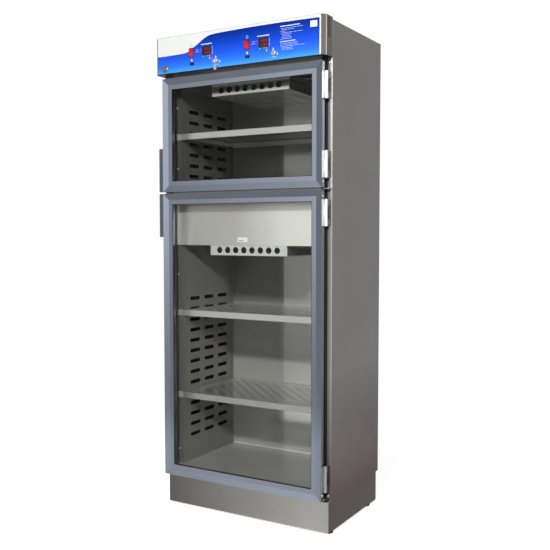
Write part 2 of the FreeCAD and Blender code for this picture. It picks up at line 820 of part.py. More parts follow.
def blower_motor(base_z):
    motor = rod(Vector(0, blower_y, base_z + blower_height), z_axis, motor_radius, motor_height)
    top_z = base_z + blower_height + motor_height - tolerance
    motor = motor.makeChamfer(motor_chamfer, [edge for edge in motor.Edges if edge.BoundBox.ZMin > top_z])
    bore = rod(Vector(0, blower_y, base_z), z_axis, shaft_radius + shaft_clearance,
               blower_height + shaft_engagement + shaft_end_play)
    return motor.cut(bore)


def impeller(base_z):
    """A hub plate with upright blades, a rim ring and the motor's shaft."""
    low_z = base_z + impeller_lift
    hub_z = low_z + impeller_blade_height
    hub = rod(Vector(0, blower_y, hub_z), z_axis, impeller_radius, impeller_sheet)
    rim = rod(Vector(0, blower_y, low_z), z_axis, impeller_radius, impeller_sheet)
    rim_hole = impeller_radius - impeller_rim_width
    rim = rim.cut(rod(Vector(0, blower_y, low_z), z_axis, rim_hole, impeller_sheet))
    shaft_start = hub_z - impeller_sheet
    shaft_end = base_z + blower_height + shaft_engagement
    shaft = rod(Vector(0, blower_y, shaft_start), z_axis, shaft_radius, shaft_end - shaft_start)
    boss = rod(Vector(0, blower_y, shaft_start), z_axis, impeller_boss_radius, impeller_sheet)
    blades = []
    blade_tip_radius = impeller_radius - blade_tip_inset
    half_blade = blade_thickness / 2
    for index in range(impeller_blades):
        blade = block(blade_inner_radius, blade_tip_radius, blower_y - half_blade, blower_y + half_blade,
                      low_z + impeller_sheet / 2, hub_z + impeller_sheet / 2)
        middle = Vector((blade_inner_radius + blade_tip_radius) / 2, blower_y, 0)
        blade.rotate(middle, z_axis, blade_angle)
        blade.rotate(Vector(0, blower_y, 0), z_axis, index * 360.0 / impeller_blades)
        blades.append(blade)
    return joined([hub, rim, boss, shaft] + blades)


def heating_elements(base_z, duct_y):
    """Straight sheathed rods from end to end of the plenum."""
    rods = []
    for index in range(element_count):
        y = duct_y + duct_depth * (index + 1) / (element_count + 1)
        start = Vector(-duct_half_width + liner, y, base_z + blower_height / 2)
        rods.append(rod(start, x_axis, element_radius, 2 * (duct_half_width - liner)))
    return rods


def lamp_bar(tray_z):
    x_low = duct_half_width + (baffle_x - duct_half_width - lamp_bar_length) / 2
    y_low = flange_y + lamp_bar_setback
    z_low = tray_z - lamp_bar_height
    bar = block(x_low, x_low + lamp_bar_length, y_low, y_low + lamp_bar_depth, z_low, tray_z)
    return round_edges(bar, lamp_bar_round, lambda edge: runs_along(edge, x_axis, z=z_low))


def valance():
    """The plain cover in front of the lower heater module, its ends set back."""
    bend_x = baffle_x + valance_bend_offset
    end_x = liner_x - valance_end_gap
    low_z = lower_tray_z - valance_drop
    face = plan(low_z)
    end_y = flange_y - liner
    front = [(-end_x, end_y), (-bend_x, valance_front_y), (bend_x, valance_front_y), (end_x, end_y)]
    rear = [(x, y + liner) for x, y in reversed(front)]
    panel = plate(face, lower_ceiling_z - low_z, polygon(face, front + rear))
    return panel


# Doors

def mitred_frame(profile, holes, x_half, z_range, width):
    """Four rails of one section, mitred at the corners of an upright rectangle."""
    z_low, z_high = z_range
    origin_y = Vector(0, door_front_y, 0)
    sides = ((Vector(-x_half, 0, z_low), x_axis, z_axis, z_high - z_low),
             (Vector(x_half, 0, z_low), x_axis * -1, z_axis, z_high - z_low),
             (Vector(-x_half, 0, z_low), z_axis, x_axis, 2 * x_half),
             (Vector(-x_half, 0, z_high), z_axis * -1, x_axis, 2 * x_half))
    rails = []
    for corner, inward, along, length in sides:
        section = (corner + origin_y, inward, y_axis)
        wires = [polygon(section, profile)] + [polygon(section, hole) for hole in holes]
        face = Part.makeFace(Part.Compound(wires), "Part::FaceMakerBullseye")
        rail = face.extrude(along * length)
        ground = (corner + origin_y, along, inward)
        limit = polygon(ground, [(0, 0), (length, 0), (length - width, width), (width, width)])
        limit_face = Part.Face(limit)
        rails.append(rail.common(limit_face.extrude(y_axis * door_front_offset)))
    return rails


def frame_profile():
    groove = 2 * pane_clearance + pane_thickness
    first = bevel_depth + frame_lip
    second = first + groove + pane_gap
    floor_u = stile_width - groove_depth
    outline = [(0, 0), (stile_bevel, bevel_depth), (stile_width, bevel_depth), (stile_width, first),
               (floor_u, first), (floor_u, first + groove), (stile_width, first + groove),
               (stile_width, second), (floor_u, second), (floor_u, second + groove),
               (stile_width, second + groove), (stile_width, door_thickness), (0, door_thickness)]
    back = door_thickness - frame_wall
    cavity = [(frame_wall, frame_lip), (stile_bevel, first), (floor_u - frame_wall, first),
              (floor_u - frame_wall, back), (frame_wall, back)]
    return outline, cavity, first + pane_clearance, second + pane_clearance


def door_frame(z_range):
    outline, cavity, _, _ = frame_profile()
    return mitred_frame(outline, [cavity], door_half_width, z_range, stile_width)


def door_glass(z_range):
    _, _, first, second = frame_profile()
    inset = stile_width - groove_depth + pane_edge_clearance
    x = door_half_width - inset
    return [block(-x, x, door_front_y + depth, door_front_y + depth + pane_thickness,
                  z_range[0] + inset, z_range[1] - inset) for depth in (first, second)]


def door_gasket(z_range):
    base_end = gasket_base_inset + gasket_base_width
    base_back = door_thickness + gasket_base_height
    bulb_end = gasket_bulb_inset + gasket_bulb_width
    tip = door_front_offset - gasket_clearance
    shoulder = tip - gasket_bulb_round
    profile = [(gasket_base_inset, door_thickness), (base_end, door_thickness), (base_end, base_back),
               (bulb_end, base_back), (bulb_end, shoulder), (bulb_end - gasket_bulb_round, tip),
               (gasket_bulb_inset + gasket_bulb_round, tip), (gasket_bulb_inset, shoulder),
               (gasket_bulb_inset, base_back), (gasket_base_inset, base_back)]
    return mitred_frame(profile, [], door_half_width, z_range, base_end)


def door_handle(z_low):
    """A J-shaped pull on the door's free edge: foot, lip and curl."""
    edge_x = -door_half_width
    lip_y = door_front_y + handle_setback
    tip_x = edge_x - handle_reach
    floor = plan(z_low)
    outline = [(edge_x, lip_y), (tip_x, lip_y), (tip_x, lip_y + handle_curl),
               (tip_x + handle_sheet, lip_y + handle_curl), (tip_x + handle_sheet, lip_y + handle_sheet),
               (edge_x - handle_sheet, lip_y + handle_sheet), (edge_x - handle_sheet, lip_y + handle_foot),
               (edge_x, lip_y + handle_foot)]
    pull = plate(floor, handle_length, polygon(floor, outline))
    envelope = block(tip_x, edge_x, lip_y, lip_y + handle_foot, z_low, z_low + handle_length)
    envelope = round_edges(envelope, handle_corner, lambda edge: runs_along(edge, y_axis, x=tip_x))
    return pull.common(envelope)


def hinge_spans(z_range):
    half = hinge_length / 2
    low = z_range[0] + hinge_end_inset + half
    high = z_range[1] - hinge_end_inset - half
    return [(low - half, low + half), (high - half, high + half)]


def door_hinge_leaf(z_low, z_high):
    middle_low = z_low + knuckle_end_length + knuckle_gap
    middle_high = z_high - knuckle_end_length - knuckle_gap
    leaf_front = hinge_y - door_leaf_width
    leaf = block(door_half_width, door_half_width + hinge_leaf, leaf_front, hinge_y + hinge_web / 2,
                 z_low, z_high)
    knuckle = rod(Vector(hinge_x, hinge_y, middle_low), z_axis, knuckle_radius, middle_high - middle_low)
    web = block(door_half_width, hinge_x, hinge_y - hinge_web / 2, hinge_y + hinge_web / 2,
                middle_low, middle_high)
    bore = rod(Vector(hinge_x, hinge_y, z_low), z_axis, hinge_pin_radius + hinge_pin_clearance, hinge_length)
    return joined([leaf, knuckle, web]).cut(bore)


def body_hinge_half(z_low, z_high):
    """The fixed leaf with its two end knuckles, and the pin through them."""
    leaf_low_x = hinge_x - body_leaf_width / 2
    parts = [block(leaf_low_x, leaf_low_x + body_leaf_width, body_front_y - hinge_leaf, body_front_y,
                   z_low, z_high)]
    for start in (z_low, z_high - knuckle_end_length):
        end = start + knuckle_end_length
        parts.append(rod(Vector(hinge_x, hinge_y, start), z_axis, knuckle_radius, knuckle_end_length))
        parts.append(block(hinge_x - hinge_web / 2, hinge_x + hinge_web / 2, hinge_y,
                           body_front_y - hinge_leaf / 2, start, end))
    bore = rod(Vector(hinge_x, hinge_y, z_low), z_axis, hinge_pin_radius, hinge_length)
    half = joined(parts).cut(bore)
    pin = rod(Vector(hinge_x, hinge_y, z_low), z_axis, hinge_pin_radius, hinge_length)
    heads = [rod(Vector(hinge_x, hinge_y, z_high), z_axis, hinge_head_radius, hinge_head_height),
             rod(Vector(hinge_x, hinge_y, z_low - hinge_head_height), z_axis, hinge_head_radius,
                 hinge_head_height)]
    return [half, joined([pin] + heads)]


# Console

def console_outline(inset):
    """Plan outline of the console wrap, a constant inset inside its outer face."""
    slant = inset * math.tan(math.radians(22.5))
    front = console_sheet_y + inset
    side = half_width - inset
    return [(-side, body_front_y), (-side, console_sheet_y + console_bevel + slant),
            (-half_width + console_bevel + slant, front), (half_width - console_bevel - slant, front),
            (side, console_sheet_y + console_bevel + slant), (side, body_front_y)]


def control_holes():
    """Every opening through the console's face, from the same places as the controls."""
    y_low = console_front_y
    depth = overlay_sheet + skin
    cutters = [rod(Vector(lock_x, y_low, lock_z), y_axis, lock_barrel_radius + panel_hole_clearance, depth)]

    def round_hole(x, z, radius):
        cutters.append(rod(Vector(x, y_low, z), y_axis, radius + panel_hole_clearance, depth))

    def square_hole(x, z, half_x, half_z):
        wide = half_x + panel_hole_clearance
        tall = half_z + panel_hole_clearance
        cutters.append(block(x - wide, x + wide, y_low, y_low + depth, z - tall, z + tall))

    for group_x in group_centres:
        square_hole(group_x, group_z, display_width / 2, display_height / 2)
        half_x, half_z = rocker_body_half(power_rocker)
        square_hole(group_x + rocker_offset[0], group_z + rocker_offset[1], half_x, half_z)
        half_z, half_x = rocker_body_half(light_rocker)
        square_hole(group_x + light_switch_offset[0], group_z + light_switch_offset[1], half_x, half_z)
        for dx, dz in lamp_offsets:
            round_hole(group_x + dx, group_z + dz, lamp_radius)
        for dx, dz in button_offsets:
            round_hole(group_x + dx, group_z + dz, button_radius)
        round_hole(group_x + key_switch_offset[0], group_z + key_switch_offset[1], key_barrel_radius)
    return Part.Compound(cutters)


def console_housing():
    floor = plan(console_bottom_z)
    wrap_outline = console_outline(0) + list(reversed(console_outline(skin)))
    wrap = plate(floor, console_height, polygon(floor, wrap_outline)).cut(control_holes())
    vent_face = side_plane(-half_width)
    vents = []
    for row in range(console_vent_count):
        z = overall_height - console_vent_top_inset - row * console_vent_pitch
        slot = obround(vent_face, body_front_y - console_vent_setback, z, console_vent_length,
                       console_vent_width)
        vents.append(plate(vent_face, overall_width, slot))
    wrap = wrap.cut(Part.Compound(vents))
    inner = console_outline(skin)
    lid_plane = plan(overall_height - skin)
    lid = plate(lid_plane, skin, polygon(lid_plane, inner))
    lip = block(-inner_half_width, inner_half_width, body_front_y - skin, body_front_y,
                body_top_z - console_lip_drop, overall_height - skin)
    under = plate(floor, skin, polygon(floor, inner))
    ledge = block(-opening_x, opening_x, body_front_y, panel_inner_y, console_bottom_z,
                  console_bottom_z + skin)
    return [wrap, joined([lid, lip]), joined([under, ledge])]


def control_overlay():
    face = front_plane(console_front_y)
    edge_x = half_width - console_bevel - overlay_end_gap
    outline = rectangle(face, console_bottom_z + overlay_margin, overall_height - overlay_margin,
                        -edge_x, edge_x)
    return plate(face, overlay_sheet, outline).cut(control_holes())


def controller(group_x):
    """Display in the console's face, on a box that carries the buttons' switches."""
    neck_x = display_width / 2 - display_neck_inset
    neck_z = display_height / 2 - display_neck_inset
    window = block(group_x - display_width / 2, group_x + display_width / 2,
                   console_front_y + display_recess, panel_back_y, group_z - display_height / 2,
                   group_z + display_height / 2)
    neck = block(group_x - neck_x, group_x + neck_x, panel_back_y, controller_y, group_z - neck_z,
                 group_z + neck_z)
    box = block(group_x - controller_half_width, group_x + controller_half_width, controller_y,
                controller_y + controller_depth, group_z - controller_below, group_z + controller_above)
    return joined([window, neck, box])


def button(x, z):
    front = console_front_y - button_proud
    cap = rod(Vector(x, front, z), y_axis, button_radius, panel_back_y + switch_gap - front)
    cap = round_front(cap, button_round, front)
    collar = rod(Vector(x, panel_back_y + switch_gap, z), y_axis, button_collar_radius, button_collar)
    stem_end = controller_y - button_travel - switch_gap
    stem = rod(Vector(x, panel_back_y, z), y_axis, button_stem_radius, stem_end - panel_back_y)
    return joined([cap, collar, stem])


def indicator_lamp(x, z):
    front = console_front_y - lamp_proud
    lens = rod(Vector(x, front, z), y_axis, lamp_radius, panel_back_y - front)
    lens = round_front(lens, lamp_round, front)
    base = rod(Vector(x, panel_back_y, z), y_axis, lamp_base_radius, lamp_base_length)
    return joined([lens, base])


def rocker_body_half(rocker):
    return (rocker["half_width"] + rocker_side_clearance + rocker_wall,
            rocker["half_length"] + rocker_end_clearance + rocker_wall)


def turned_level(shape, x, z):
    shape.rotate(Vector(x, 0, z), y_axis, 90)
    return shape


def rocker_housing(x, z, rocker, level=False):
    half_x, half_z = rocker_body_half(rocker)
    body = block(x - half_x, x + half_x, console_front_y, console_front_y + rocker_housing_depth,
                 z - half_z, z + half_z)
    bezel = block(x - half_x - rocker_bezel, x + half_x + rocker_bezel, console_front_y - rocker_bezel_proud,
                  console_front_y, z - half_z - rocker_bezel, z + half_z + rocker_bezel)
    cavity = block(x - half_x + rocker_wall, x + half_x - rocker_wall, console_front_y - rocker_bezel_proud,
                   console_front_y + rocker_housing_depth - rocker_wall, z - half_z + rocker_wall,
                   z + half_z - rocker_wall)
    pivot_y = console_front_y + rocker_pivot_depth
    axle = rod(Vector(x - half_x, pivot_y, z), x_axis, rocker_axle_radius, 2 * half_x)
    housing = joined([body, bezel]).cut(cavity)
    housing = joined([housing, axle])
    return turned_level(housing, x, z) if level else housing


def rocker_cap(x, z, rocker, level=False):
    """The rocking piece, modelled at one of its two rest tilts."""
    pivot_y = console_front_y + rocker_pivot_depth
    half_z = rocker["half_length"]
    ridge_y = console_front_y - rocker["proud"] + rocker["dish"]
    crest_y = console_front_y - rocker["proud"]
    side = (Vector(x - rocker["half_width"], 0, z), y_axis, z_axis)
    heel_y = pivot_y + rocker_axle_radius
    heel_z = half_z * rocker_heel
    outline = [(crest_y, half_z), (ridge_y, 0), (crest_y, -half_z), (heel_y, -heel_z),
               (pivot_y + rocker_keel, 0), (heel_y, heel_z)]
    cap = plate(side, 2 * rocker["half_width"], polygon(side, outline))
    cap = cap.cut(rod(Vector(x - rocker["half_width"], pivot_y, z), x_axis,
                      rocker_axle_radius + turning_clearance, 2 * rocker["half_width"]))
    cap.rotate(Vector(x, pivot_y, z), x_axis, rocker["tilt"])
    return turned_level(cap, x, z) if level else cap


def key_barrel(x, z):
    bezel = rod(Vector(x, console_front_y - key_bezel_proud, z), y_axis, key_bezel_radius, key_bezel_proud)
    bezel = round_front(bezel, key_bezel_round, console_front_y - key_bezel_proud)
    barrel = rod(Vector(x, console_front_y, z), y_axis, key_barrel_radius, barrel_length)
    bore = rod(Vector(x, console_front_y - key_bezel_proud, z), y_axis, tumbler_radius + turning_clearance,
               key_bezel_proud + barrel_length)
    return joined([bezel, barrel]).cut(bore)


def key_slot(x, z, clearance):
    start = console_front_y - key_bezel_proud
    half_width_slot = key_slot_width / 2 - clearance
    half_height_slot = key_slot_height / 2 - clearance
    return block(x - half_width_slot, x + half_width_slot, start, start + key_slot_depth - clearance,
                 z - half_height_slot, z + half_height_slot)


def tumbler(x, z):
    front = console_front_y - key_bezel_proud
    core = rod(Vector(x, front, z), y_axis, tumbler_radius, key_bezel_proud + barrel_length)
    end = console_front_y + barrel_length
    collar = rod(Vector(x, end + turning_clearance, z), y_axis, key_barrel_radius, tumbler_collar)
    link = rod(Vector(x, end - tumbler_collar, z), y_axis, tumbler_link_radius, 2 * tumbler_collar)
    return joined([core, link, collar]).cut(key_slot(x, z, 0))


def console_key(x, z):
    front = console_front_y - key_bezel_proud
    bow_front = console_front_y - key_reach
    blade = key_slot(x, z, turning_clearance)
    neck = rod(Vector(x, front - key_neck_length, z), y_axis, key_neck_radius, key_neck_length)
    bow = block(x - key_bow_thickness / 2, x + key_bow_thickness / 2, bow_front, front - key_neck_length,
                z - key_bow_height / 2, z + key_bow_height / 2)
    bow = round_edges(bow, key_bow_round, lambda edge: runs_along(edge, x_axis))
    hole = rod(Vector(x - key_bow_thickness / 2, bow_front + key_hole_inset, z), x_axis, key_hole_radius,
               key_bow_thickness)
    return joined([blade, neck, bow]).cut(hole)


def key_tag(x, z):
    """A wire ring hung on the key's neck, and a plain tag hung on the ring."""
    y = console_front_y - key_bezel_proud - key_neck_length / 2
    ring_z = z + key_neck_radius + turning_clearance - (tag_ring_radius - tag_wire_radius)
    ring = Part.makeTorus(tag_ring_radius, tag_wire_radius, Vector(x, y, ring_z), y_axis)
    eye_z = ring_z - tag_ring_radius
    eye = rod(Vector(x - tag_eye_length / 2, y, eye_z), x_axis, tag_eye_outer, tag_eye_length)
    eye = eye.cut(rod(Vector(x - tag_eye_length / 2, y, eye_z), x_axis, tag_eye_inner, tag_eye_length))
    top_z = eye_z - tag_eye_inner - tag_eye_bite
    strap = block(x - tag_width / 2, x + tag_width / 2, y - tag_thickness / 2, y + tag_thickness / 2,
                  top_z - tag_length, top_z)
    strap = round_edges(strap, tag_round, lambda edge: runs_along(edge, y_axis))
    return [ring, joined([eye, strap])]


def lock_barrel():
    bezel = rod(Vector(lock_x, console_front_y - lock_bezel_proud, lock_z), y_axis, lock_bezel_radius,
                lock_bezel_proud)
    bezel = round_front(bezel, lock_bezel_round, console_front_y - lock_bezel_proud)
    barrel = rod(Vector(lock_x, console_front_y, lock_z), y_axis, lock_barrel_radius, barrel_length)
    bore = rod(Vector(lock_x, console_front_y - lock_bezel_proud, lock_z), y_axis,
               lock_plug_radius + turning_clearance, lock_bezel_proud + barrel_length)
    return joined([bezel, barrel]).cut(bore)


def lock_cam():
    front = console_front_y - lock_bezel_proud + lock_plug_recess
    cam_y = console_front_y + barrel_length + turning_clearance
    plug = rod(Vector(lock_x, front, lock_z), y_axis, lock_plug_radius, cam_y + lock_cam_sheet - front)
    slot = block(lock_x - lock_slot_width / 2, lock_x + lock_slot_width / 2, front, front + lock_slot_depth,
                 lock_z - lock_slot_height / 2, lock_z + lock_slot_height / 2)
    cam = block(lock_x - lock_cam_width / 2, lock_x + lock_cam_width / 2, cam_y, cam_y + lock_cam_sheet,
                lock_z - lock_cam_width / 2, lock_z + lock_cam_length)
    cam = round_edges(cam, lock_cam_round, lambda edge: runs_along(edge, y_axis))
    return joined([plug, cam]).cut(slot)


def power_inlet():
    """A recessed three-pin inlet in the back panel."""
    z = service_floor_z + inlet_height
    flange_front = back_y - skin
    well_bottom = flange_front - inlet_depth + inlet_wall

    def centred(half_x, half_z, y_low, y_high, x=inlet_offset):
        return block(x - half_x, x + half_x, y_low, y_high, z - half_z, z + half_z)

    body = centred(inlet_half_width - inlet_hole_clearance, inlet_half_height - inlet_hole_clearance,
                   flange_front - inlet_depth, flange_front)
    flange = centred(inlet_half_width + inlet_flange, inlet_half_height + inlet_flange, flange_front, back_y)
    well = centred(inlet_well_half_width, inlet_well_half_height, well_bottom, back_y)
    pins = [centred(inlet_pin_half_width, inlet_pin_half_height, well_bottom - inlet_wall / 2,
                    back_y - inlet_pin_recess, inlet_offset + step * inlet_pin_pitch) for step in (-1, 0, 1)]
    return joined([joined([body, flange]).cut(well)] + pins)


# Build and save every piece

def control_place(group_x, offset):
    return group_x + offset[0], group_z + offset[1]


def save_body():
    right = side_panel()
    save("side_panel_right", [right])
    save("side_panel_left", [mirrored(right)])
    save("back_panel", [back_panel()])
    save("top_panel", [body_sheet(body_top_z - skin)])
    save("base_pan", [body_sheet(body_bottom_z)])
    save("front_rails", front_rails())
    save("plinth", plinth())
    save("rubber_feet", [foot(x, y) for x, y in foot_places()])
    save("insulation", insulation())
    save("power_inlet", [power_inlet()])


def save_chambers():
    save("lower_liner", chamber_liner(lower_floor_z, lower_ceiling_z))
    save("upper_liner", chamber_liner(upper_floor_z, upper_ceiling_z, module_hole()))
    lower = baffle(lower_floor_z, lower_tray_z, lower_slot_first_row, lower_slot_top_margin,
                   lower_baffle_places)
    upper = baffle(upper_floor_z, upper_tray_z, upper_slot_first_row, upper_slot_top_margin,
                   upper_baffle_places)
    save("air_baffles", both_sides(lower) + both_sides(upper))
    rails = []
    clips = []
    for name, top_z in shelf_tops.items():
        save(name, [shelf(top_z)])
        rails += both_sides(shelf_rail(top_z))
        for y in clip_columns():
            clips += both_sides(shelf_clip(top_z, y))
    save("shelf_rails", rails)
    save("shelf_clips", clips)
    save("valance_panel", [valance()])
    screws = [screw(x, flange_y, z) for x, z in lower_baffle_places + upper_baffle_places]
    screws += [screw(x, body_front_y, z) for x, z in body_screw_places]
    screws += [screw(x, back_y, z, towards_back=False) for x, z in back_screw_places]
    save("assembly_screws", screws)


def save_modules():
    modules = (("upper", upper_tray_z, upper_duct_y, flange_y),
               ("lower", lower_tray_z, lower_duct_y, valance_sheet_y))
    trays = []
    ducts = []
    blowers = []
    elements = []
    lamps = []
    for name, tray_z, duct_y, tray_front in modules:
        base_z = tray_z + liner
        trays.append(module_tray(tray_z, tray_front, duct_y))
        ducts.append(air_duct(tray_z, duct_y))
        blowers += [blower_housing(base_z, duct_y), blower_motor(base_z)]
        elements += heating_elements(base_z, duct_y)
        lamps.append(lamp_bar(tray_z))
        save(name + "_impeller", [impeller(base_z)])
    save("module_trays", trays)
    save("air_ducts", ducts)
    save("blowers", blowers)
    save("heating_elements", elements)
    save("chamber_lamps", lamps)


def save_doors():
    handle_starts = {"upper": upper_door_z[0], "lower": lower_door_z[1] - handle_length}
    body_halves = []
    for name, z_range in (("upper", upper_door_z), ("lower", lower_door_z)):
        save(name + "_door_frame", door_frame(z_range))
        save(name + "_door_glass", door_glass(z_range))
        save(name + "_door_gasket", door_gasket(z_range))
        save(name + "_door_handle", [door_handle(handle_starts[name])])
        spans = hinge_spans(z_range)
        save(name + "_door_hinge_leaves", [door_hinge_leaf(low, high) for low, high in spans])
        for low, high in spans:
            body_halves += body_hinge_half(low, high)
    save("body_hinge_halves", body_halves)


def save_console():
    save("console_housing", console_housing())
    save("control_overlay", [control_overlay()])
    save("controllers", [controller(group_x) for group_x in group_centres])
    lamps = []
    housings = []
    barrels = []
    for name, group_x in zip(("left", "right"), group_centres):
        lamps += [indicator_lamp(*control_place(group_x, offset)) for offset in lamp_offsets]
        power_x, power_z = control_place(group_x, rocker_offset)
        light_x, light_z = control_place(group_x, light_switch_offset)
        housings.append(rocker_housing(power_x, power_z, power_rocker))
        housings.append(rocker_housing(light_x, light_z, light_rocker, level=True))
        save(name + "_power_rocker", [rocker_cap(power_x, power_z, power_rocker)])
        save(name + "_light_rocker", [rocker_cap(light_x, light_z, light_rocker, level=True)])
        for label, offset in zip(("start", "down", "up"), button_offsets):
            save(name + "_" + label + "_button", [button(*control_place(group_x, offset))])
        key_x, key_z = control_place(group_x, key_switch_offset)
        barrels.append(key_barrel(key_x, key_z))
        save(name + "_key_tumbler", [tumbler(key_x, key_z)])
        if name == "left":
            save("console_key", [console_key(key_x, key_z)])
            save("key_tag", key_tag(key_x, key_z))
    save("indicator_lamps", lamps)
    save("rocker_housings", housings)
    save("key_barrels", barrels)
    save("lock_barrel", [lock_barrel()])
    save("lock_cam", [lock_cam()])


save_body()
save_chambers()
save_modules()
save_doors()
save_console()
print("hinge axis", hinge_x, hinge_y, "blower axis", blower_y)
print("group height", group_z, "lock", lock_x, lock_z, "shelves", shelf_tops)
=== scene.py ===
import math
import random
import bpy
import bmesh
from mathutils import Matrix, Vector


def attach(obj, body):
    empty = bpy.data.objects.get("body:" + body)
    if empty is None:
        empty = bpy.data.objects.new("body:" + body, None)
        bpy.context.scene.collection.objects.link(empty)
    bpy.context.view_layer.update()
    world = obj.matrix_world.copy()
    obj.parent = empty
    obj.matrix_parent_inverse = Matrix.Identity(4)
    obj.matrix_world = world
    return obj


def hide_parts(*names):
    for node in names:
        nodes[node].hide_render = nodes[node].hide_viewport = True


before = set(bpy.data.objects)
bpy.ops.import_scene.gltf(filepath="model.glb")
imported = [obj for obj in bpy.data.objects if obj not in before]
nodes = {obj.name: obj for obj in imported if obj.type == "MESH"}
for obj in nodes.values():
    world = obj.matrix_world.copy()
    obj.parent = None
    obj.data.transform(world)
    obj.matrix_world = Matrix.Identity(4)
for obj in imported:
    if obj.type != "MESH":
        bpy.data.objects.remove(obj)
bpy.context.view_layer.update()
mm = 0.001
print("frame loaded with", len(nodes), "nodes")


# Camera

camera = {"place": (1.6581, -2.7775, 1.1327), "turn": (86.91, 0.0, 30.3), "lens": 51.78, "far": 60}

cameraData = bpy.data.cameras.new("camera")
cameraData.lens = camera["lens"]
cameraData.clip_end = camera["far"]
cameraObject = bpy.data.objects.new("camera", cameraData)
cameraObject.location = camera["place"]
cameraObject.rotation_euler = [math.radians(angle) for angle in camera["turn"]]
bpy.context.scene.collection.objects.link(cameraObject)
bpy.context.scene.camera = cameraObject
bpy.context.scene.view_settings.view_transform = "Standard"


# Shader helpers

def paint(red, green, blue):  # a colour from 0 to 255 as the renderer wants it
    steps = [value / 255 for value in (red, green, blue)]
    linear = [s / 12.92 if s <= 0.04045 else ((s + 0.055) / 1.055) ** 2.4 for s in steps]
    return tuple(linear) + (1.0,)


def grey(value):
    return (value, value, value, 1.0)


def lighter(colour, factor):
    return tuple(min(1.0, value * factor) for value in colour[:3]) + (1.0,)


def addNode(tree, kind, sockets=None, **settings):
    made = tree.nodes.new(kind)
    for name, value in settings.items():
        setattr(made, name, value)
    for key, value in (sockets or {}).items():
        if isinstance(value, bpy.types.NodeSocket):
            tree.links.new(value, made.inputs[key])
        else:
            made.inputs[key].default_value = value
    return made


def sums(tree, operation, first, second=0.0, third=0.0):
    sockets = {0: first, 1: second, 2: third}
    return addNode(tree, "ShaderNodeMath", sockets, operation=operation).outputs[0]


def mixed(tree, factor, first, second, how="MIX"):
    sockets = {0: factor, 6: first, 7: second}
    return addNode(tree, "ShaderNodeMix", sockets, data_type="RGBA", blend_type=how).outputs[2]


def spread(tree, value, low, high, fromLow=0.3, fromHigh=0.7):
    sockets = {"Value": value, "From Min": fromLow, "From Max": fromHigh,
               "To Min": low, "To Max": high}
    return addNode(tree, "ShaderNodeMapRange", sockets).outputs["Result"]


def cloud(tree, place, scale, stretch=(1, 1, 1), detail=3.0):
    sockets = {"Vector": place, "Scale": stretch}
    stretched = addNode(tree, "ShaderNodeMapping", sockets).outputs["Vector"]
    sockets = {"Vector": stretched, "Scale": scale, "Detail": detail, "Roughness": 0.6}
    return addNode(tree, "ShaderNodeTexNoise", sockets).outputs["Fac"]


def startMaterial(name, **plain):
    material = bpy.data.materials.new(name)
    material.use_nodes = True
    tree = material.node_tree
    shader = tree.nodes["Principled BSDF"]
    for key, value in plain.items():
        shader.inputs[key.replace("_", " ")].default_value = value
    place = addNode(tree, "ShaderNodeTexCoord").outputs["Object"]
    return material, tree, shader, place


def feed(tree, shader, key, value):
    tree.links.new(value, shader.inputs[key])


def relief(tree, shader, height, distance, strength):
    sockets = {"Height": height, "Distance": distance, "Strength": strength}
    feed(tree, shader, "Normal", addNode(tree, "ShaderNodeBump", sockets).outputs["Normal"])


# 1 where every span is full; a span is an axis, where it starts and where it is full

def within(tree, place, spans):
    parts = addNode(tree, "ShaderNodeSeparateXYZ", {"Vector": place}).outputs
    amount = 1.0
    for axis, start, full in spans:
        share = spread(tree, parts[axis], 0.0, 1.0, start, full)
        amount = sums(tree, "MULTIPLY", share, amount)
    return amount


def shaded(tree, place, tone, ramps):
    for spans, tint in ramps:
        tone = mixed(tree, within(tree, place, spans), tone, tint, "MULTIPLY")
    return tone


# Sheet steel: fine lines along the rolling direction, broad smudges, and painted shade by place

rolled = {
    "lines": 1300.0, "along": 0.02, "smudges": 3.2, "smudge": (0.92, 0.92, 0.91, 1),
    "smudgeWear": 0.10, "lineWear": 0.9, "wear": (0.35, 0.75), "bump": (0.000004, 0.2),
    "matteMetal": 0.3,  # what is left of the metal where steel is matte
}


def brushedSteel(name, colour, along, rough=(0.27, 0.37), streak=0.05, ramps=(), metal=1.0,
                 matte=()):
    material, tree, shader, place = startMaterial(name, Metallic=metal)
    stretch = [rolled["along"] if axis == along else 1 for axis in "XYZ"]
    lines = cloud(tree, place, rolled["lines"], stretch, 2.0)
    broad = cloud(tree, place, rolled["smudges"])
    tone = mixed(tree, lines, lighter(colour, 1 - streak), lighter(colour, 1 + streak))
    tone = shaded(tree, place, tone, ramps)
    tone = mixed(tree, spread(tree, broad, 0.0, 1.0), tone, rolled["smudge"], "MULTIPLY")
    feed(tree, shader, "Base Color", tone)
    wear = sums(tree, "MULTIPLY_ADD", broad, rolled["smudgeWear"],
                sums(tree, "MULTIPLY", lines, rolled["lineWear"]))
    feed(tree, shader, "Roughness", spread(tree, wear, *rough, *rolled["wear"]))
    relief(tree, shader, lines, *rolled["bump"])
    if matte:
        dull = sums(tree, "MULTIPLY", within(tree, place, matte), 1 - rolled["matteMetal"])
        left = sums(tree, "SUBTRACT", 1.0, dull)
        feed(tree, shader, "Metallic", sums(tree, "MULTIPLY", left, metal))
    return material


# Anodised aluminium: the lines run along each rail of a door and turn at its mitres

drawn = {
    "lines": 520.0, "along": 0.015, "streak": 0.06, "smudges": 4.0,
    "smudge": (0.93, 0.94, 0.96, 1), "rough": (0.20, 0.27), "bump": (0.00001, 0.3),
}


